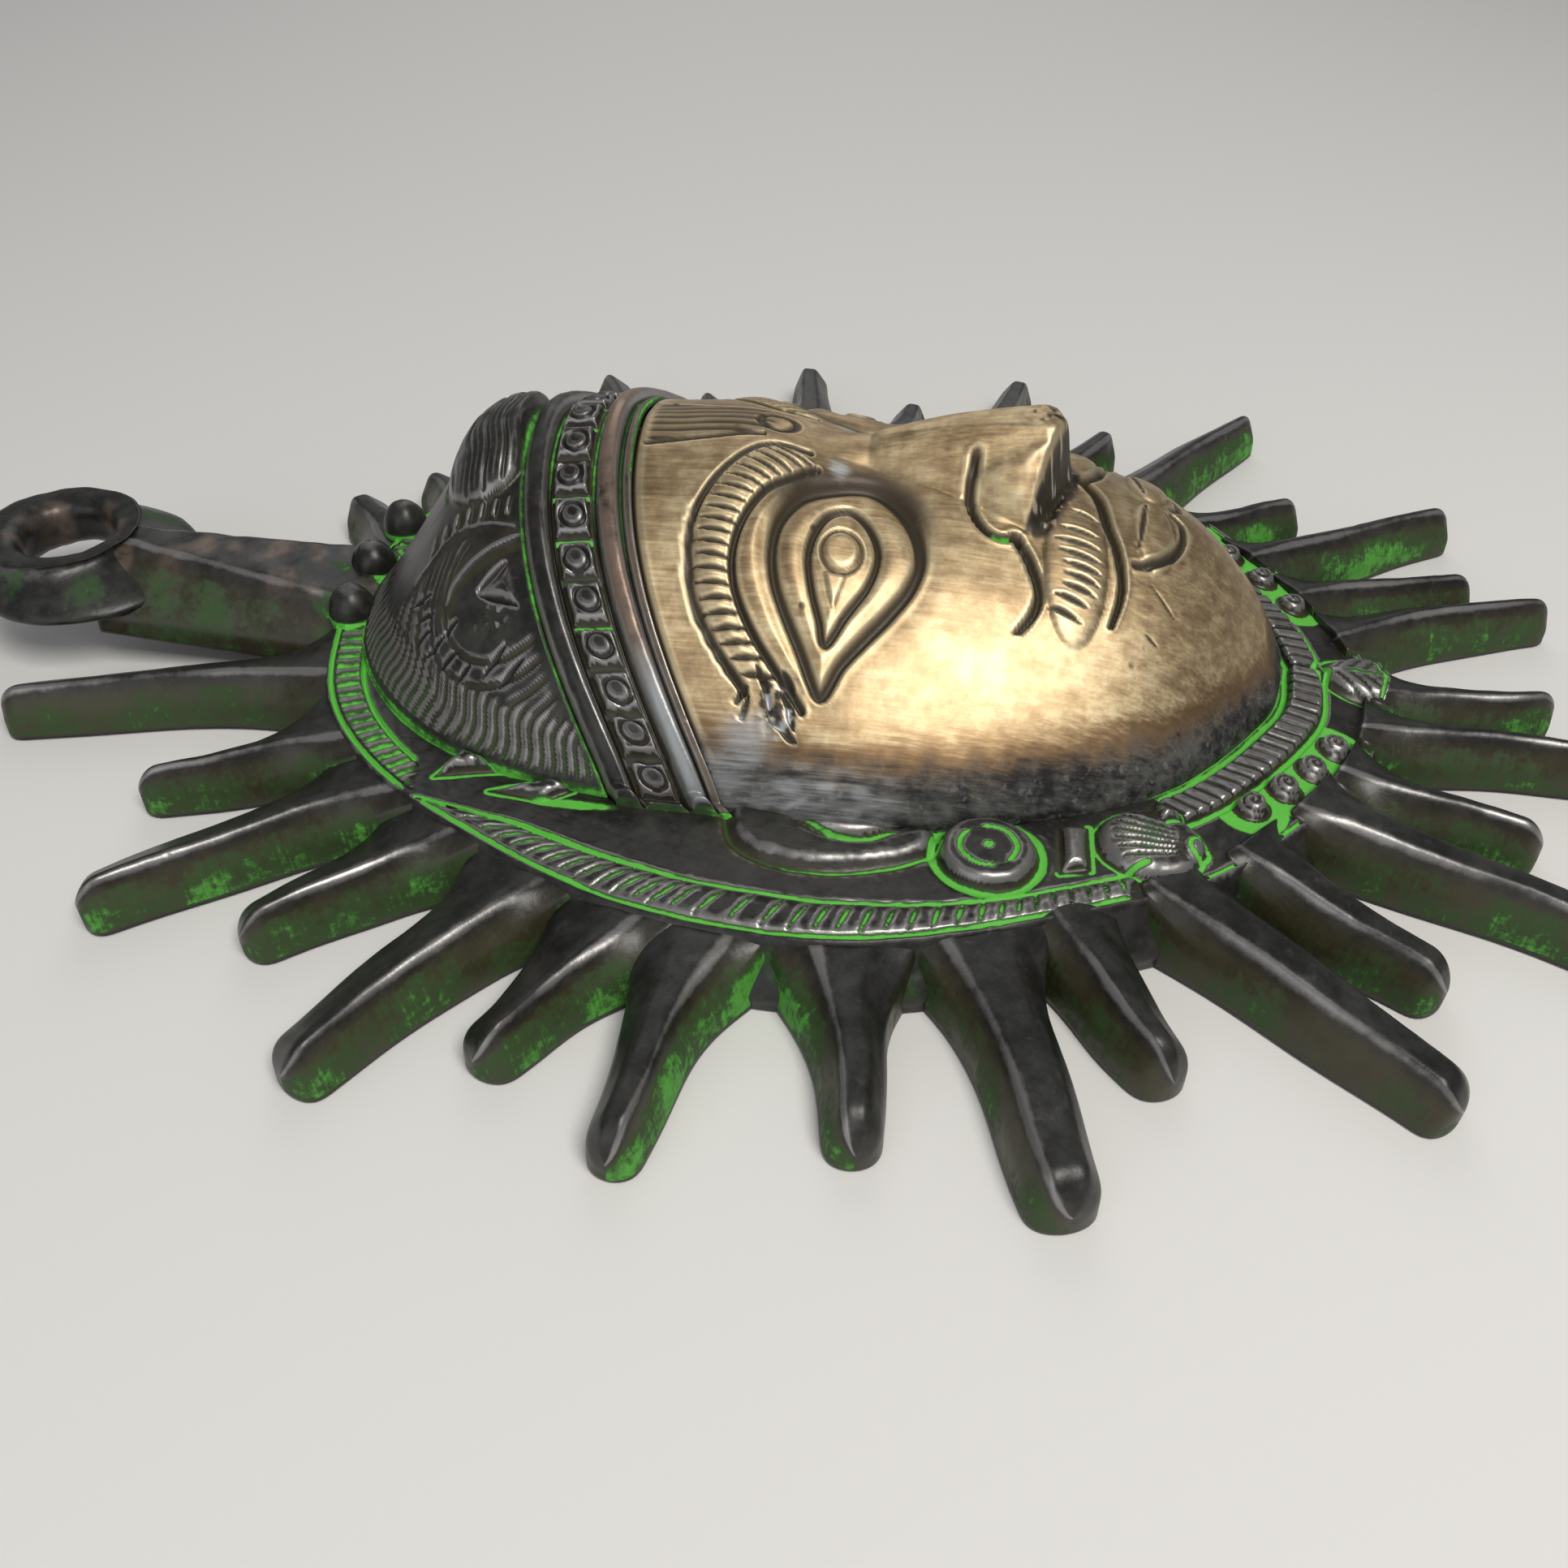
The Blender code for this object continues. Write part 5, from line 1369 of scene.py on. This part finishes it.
def face_material():
    """Rubbed warm brass with brown mottling and brush lines, dark in its cuts and silvery where rubbed bare; painted
    shade darkens some hollows, and painted highlights lighten crests and glinting spots.
    """
    material, tree, shader = new_material("rubbed_brass")
    clouds, specks = use_group(tree, GROUPS["clouds"], 0.5)
    lines, = use_group(tree, GROUPS["brush"], 1.0)
    pits, = use_group(tree, GROUPS["pits"], 1.0)
    tone = calc(tree, "ADD", clouds, calc(tree, "MULTIPLY", lines, 0.6))
    colour = blend(tree, step(tree, tone, 0.30, 0.62), BRASS_SHADE, BRASS)
    colour = blend(tree, step(tree, tone, 0.48, 0.80), colour, BRASS_PALE)
    edge_tone = step(tree, calc(tree, "ADD", mark_of(tree, "brass"), calc(tree, "MULTIPLY", lines, 0.8)), 0.5, 0.95)
    colour = blend(tree, calc(tree, "SUBTRACT", 0.9, calc(tree, "MULTIPLY", edge_tone, 0.9)), colour, BRASS_EDGE)
    # Painted highlight: crests lightened towards pale brass
    crest_and_highlight = step(tree, mark_of(tree, "crest_and_highlight"), 0.2, 1.0)
    colour = blend(tree, calc(tree, "MULTIPLY", crest_and_highlight, 0.5), colour, BRASS_PALE)
    # Silvery rubbing, with painted highlights and glints where the mark lays them
    silver_and_highlight = step(tree, calc(tree, "ADD", mark_of(tree, "silver_and_highlight"), calc(tree, "MULTIPLY", lines, 0.9)), 0.25, 0.85)
    olive = calc(tree, "MULTIPLY", mark_of(tree, "olive"), calc(tree, "ADD", clouds, 0.1), True)
    # Dark cuts, with painted shade where the mark spreads beside them
    groove_and_shade = step(tree, calc(tree, "ADD", mark_of(tree, "groove_and_shade"), calc(tree, "MULTIPLY", lines, 0.35)), 0.08, 0.72)
    deep = step(tree, calc(tree, "ADD", mark_of(tree, "groove_and_shade"), calc(tree, "MULTIPLY", clouds, 0.3)), 0.75, 1.15)
    colour = blend(tree, groove_and_shade, colour, GROOVE_BROWN)
    colour = blend(tree, deep, colour, GROOVE_DARK)
    colour = blend(tree, calc(tree, "MULTIPLY", olive, 0.8), colour, OLIVE_DIRT)
    bare = calc(tree, "ADD", mark_of(tree, "brass"), calc(tree, "MULTIPLY", lines, 0.7))
    bare = step(tree, calc(tree, "ADD", bare, calc(tree, "MULTIPLY", clouds, 0.4)), 0.25, 0.85)
    patina = blend(tree, step(tree, tone, 0.35, 0.65), PATINA_DARK, PATINA_GREY)
    patina = blend(tree, calc(tree, "MULTIPLY", specks, 0.12), patina, SILVERED)
    colour = blend(tree, bare, patina, colour)
    colour = blend(tree, calc(tree, "MULTIPLY", silver_and_highlight, 0.8), colour, SILVERED)
    colour = blend(tree, calc(tree, "MULTIPLY", pits, 0.8), colour, GROOVE_DARK)
    paint, stain = use_group(tree, GROUPS["paint"], mark_of(tree, "green"), 0.35)
    colour = blend(tree, paint, colour, GREEN_PAINT)
    tree.links.new(colour, shader.inputs["Base Color"])
    metal = calc(tree, "MULTIPLY", calc(tree, "SUBTRACT", 1.0, calc(tree, "MULTIPLY", groove_and_shade, 0.8)), bare)
    metal = calc(tree, "MAXIMUM", metal, calc(tree, "MULTIPLY", silver_and_highlight, 0.7))
    metal = calc(tree, "MULTIPLY", metal, calc(tree, "SUBTRACT", 1.0, paint))
    tree.links.new(calc(tree, "MULTIPLY", metal, 0.9), shader.inputs["Metallic"])
    rough = calc(tree, "ADD", 0.36, calc(tree, "MULTIPLY", clouds, 0.20))
    tree.links.new(calc(tree, "ADD", rough, calc(tree, "MULTIPLY", lines, 0.35), True), shader.inputs["Roughness"])
    shader.inputs["Specular IOR Level"].default_value = 0.35
    normal = bump(tree, lines, 0.25, 0.00006)
    tree.links.new(bump(tree, calc(tree, "SUBTRACT", clouds, pits), 0.5, 0.00010, normal), shader.inputs["Normal"])
    return material


def patina_material(name, raggedness, wear_and_highlight_amount, gloss, streaked=False):
    """Near-black patina over cast metal, rubbed and lit by a painted highlight on its crests, with green paint and dirt
    in its recesses.
    """
    material, tree, shader = new_material(name)
    clouds, specks = use_group(tree, GROUPS["clouds"], 0.5)
    pits, = use_group(tree, GROUPS["pits"], 0.6)
    colour = blend(tree, step(tree, clouds, 0.36, 0.70), PATINA_DARK, PATINA_LIGHT)
    colour = blend(tree, calc(tree, "MULTIPLY", specks, 0.5), colour, PATINA_LIGHT)
    olive = calc(tree, "MULTIPLY", mark_of(tree, "olive"), calc(tree, "ADD", clouds, 0.35), True)
    colour = blend(tree, olive, colour, OLIVE_DIRT)
    brass = calc(tree, "MULTIPLY", mark_of(tree, "brass"), step(tree, clouds, 0.3, 0.6))
    colour = blend(tree, brass, colour, BROWN_METAL)
    # Crests lightened and made metallic: rubbing, with a painted highlight
    wear_and_highlight, = use_group(tree, GROUPS["wear_and_highlight"], mark_of(tree, "crest_and_highlight"), 0.8)
    colour = blend(tree, calc(tree, "MULTIPLY", wear_and_highlight, wear_and_highlight_amount), colour, PATINA_WEAR_AND_HIGHLIGHT)
    # Silvery rubbing, with painted highlights, glints and a reflection where the mark lays them
    silver_and_highlight = step(tree, calc(tree, "ADD", mark_of(tree, "silver_and_highlight"), calc(tree, "MULTIPLY", clouds, 0.3)), 0.5, 1.0)
    colour = blend(tree, calc(tree, "MULTIPLY", silver_and_highlight, 0.7), colour, SILVERED)
    groove_and_shade = step(tree, mark_of(tree, "groove_and_shade"), 0.3, 0.9)
    colour = blend(tree, groove_and_shade, colour, PATINA_DARK)
    amount = mark_of(tree, "green")
    if streaked:
        streaks, = use_group(tree, GROUPS["streaks"], mark_of(tree, "run"))
        present = step(tree, amount, 0.05, 0.3)
        amount = calc(tree, "ADD", amount, calc(tree, "MULTIPLY", calc(tree, "MULTIPLY", streaks, 0.34), present))
    paint, stain = use_group(tree, GROUPS["paint"], amount, raggedness)
    colour = blend(tree, calc(tree, "MULTIPLY", stain, 0.75 if streaked else 1.0), colour, GREEN_STAIN)
    colour = blend(tree, calc(tree, "MULTIPLY", paint, 0.6 if streaked else 1.0), colour, GREEN_PAINT)
    tree.links.new(colour, shader.inputs["Base Color"])
    metal = calc(tree, "ADD", calc(tree, "MULTIPLY", silver_and_highlight, 0.6), calc(tree, "MULTIPLY", wear_and_highlight, 0.75), True)
    metal = calc(tree, "MAXIMUM", metal, calc(tree, "MULTIPLY", brass, 0.7))
    metal = calc(tree, "MULTIPLY", metal, calc(tree, "SUBTRACT", 1.0, stain))
    tree.links.new(metal, shader.inputs["Metallic"])
    rough = calc(tree, "ADD", gloss, calc(tree, "MULTIPLY", clouds, 0.22))
    rough = calc(tree, "ADD", rough, calc(tree, "MULTIPLY", stain, 0.35), True)
    tree.links.new(rough, shader.inputs["Roughness"])
    shader.inputs["Specular IOR Level"].default_value = 0.42
    height = calc(tree, "SUBTRACT", clouds, pits)
    height = calc(tree, "ADD", height, calc(tree, "MULTIPLY", paint, 0.4))
    tree.links.new(bump(tree, height, 0.6, 0.00022), shader.inputs["Normal"])
    return material


def pale_wall():
    """Plain pale wall behind the hanging, seen from the front only."""
    material, tree, shader = new_material("pale_wall")
    shader.inputs["Base Color"].default_value = (0.74, 0.73, 0.71, 1)
    shader.inputs["Roughness"].default_value = 0.9
    clear = tree.nodes.new("ShaderNodeBsdfTransparent")
    behind = tree.nodes.new("ShaderNodeNewGeometry").outputs["Backfacing"]
    passed = tree.nodes.new("ShaderNodeLightPath").outputs["Transparent Depth"]
    seen_through = calc(tree, "MAXIMUM", behind, calc(tree, "GREATER_THAN", passed, 0.5))
    mixed = tree.nodes.new("ShaderNodeMixShader")
    tree.links.new(seen_through, mixed.inputs[0])
    tree.links.new(shader.outputs[0], mixed.inputs[1])
    tree.links.new(clear.outputs[0], mixed.inputs[2])
    tree.links.new(mixed.outputs[0], tree.nodes["Material Output"].inputs["Surface"])
    half = 2.0
    mesh = bpy.data.meshes.new("pale_wall")
    corners = [(-half, 0.0003, -half), (half, 0.0003, -half), (half, 0.0003, half), (-half, 0.0003, half)]
    mesh.from_pydata(corners, [], [(0, 1, 2, 3)])
    mesh.materials.append(material)
    wall = bpy.data.objects.new("pale_wall", mesh)
    bpy.context.scene.collection.objects.link(wall)


# Camera measured on the photograph: plan metres, with the view's turn and tilt in degrees
LENS_MM = 31.03
VIEW_TURN = 5.62
VIEW_TILT = 42.06
VIEW_ROLL = 1.24
VIEW_DISTANCE = 0.1709
VIEW_TARGET = (-0.0229, -0.0006)


def make_camera():
    """Camera at the photograph's viewing angle."""
    turn, tilt, roll = (math.radians(a) for a in (VIEW_TURN, VIEW_TILT, VIEW_ROLL))
    forward = Vector((math.cos(tilt) * math.cos(turn), math.cos(tilt) * math.sin(turn), -math.sin(tilt)))
    level_right = forward.cross(Vector((0, 0, 1))).normalized()
    level_up = level_right.cross(forward)
    right = math.cos(roll) * level_right + math.sin(roll) * level_up
    up = math.cos(roll) * level_up - math.sin(roll) * level_right
    eye = Vector((*VIEW_TARGET, 0)) - VIEW_DISTANCE * forward
    stood = Matrix(((1, 0, 0), (0, 0, -1), (0, 1, 0)))
    axes = Matrix((stood @ right, stood @ up, stood @ -forward)).transposed().to_4x4()
    place = stood @ eye + Vector((0, 0, -HANG_Y * MM))
    camera = bpy.data.objects.new("camera", bpy.data.cameras.new("camera"))
    camera.data.lens = LENS_MM
    camera.data.sensor_width = 36
    camera.data.clip_start = 0.005
    camera.matrix_world = Matrix.Translation(place) @ axes
    bpy.context.scene.collection.objects.link(camera)
    bpy.context.scene.camera = camera


def area_light(name, place, size, energy, colour=(1, 1, 1)):
    """Square soft light that looks at the middle of the face."""
    lamp = bpy.data.lights.new(name, "AREA")
    lamp.size = size
    lamp.energy = energy
    lamp.color = colour
    made = bpy.data.objects.new(name, lamp)
    target = Vector((0, -0.02, -0.11))
    made.location = place
    made.rotation_euler = (target - Vector(place)).to_track_quat("-Z", "Y").to_euler()
    bpy.context.scene.collection.objects.link(made)


def make_studio():
    """Pale surroundings and soft lights: one in front, two from the sides and a weak one behind."""
    area_light("key", (-0.30, -0.58, -0.32), 0.30, 3.4, (1.0, 0.97, 0.92))
    area_light("left_fill", (-0.60, -0.25, 0.15), 0.5, 0.8, (0.94, 0.97, 1.0))
    area_light("right_fill", (0.55, -0.45, -0.05), 0.5, 0.8)
    area_light("behind", (0.1, 0.8, 0.1), 0.6, 4)
    world = bpy.data.worlds.new("studio")
    world.use_nodes = True
    world.node_tree.nodes["Background"].inputs["Color"].default_value = (0.80, 0.82, 0.85, 1)
    world.node_tree.nodes["Background"].inputs["Strength"].default_value = 0.24
    bpy.context.scene.world = world
    bpy.context.scene.view_settings.view_transform = "Standard"


def build():
    materials = {
        "face": face_material(),
        "patina": patina_material("dark_patina", 0.45, 0.8, 0.24),
        "rays": patina_material("streaked_patina", 0.55, 0.8, 0.24, streaked=True),
        "back": patina_material("back_skin", 0.8, 0.3, 0.5),
    }
    make_head(materials)
    make_collar(materials)
    make_back(materials)
    make_rays(materials)
    make_ring(materials)
    make_stem(materials)
    make_beads(materials)
    pale_wall()
    make_camera()
    make_studio()


build()
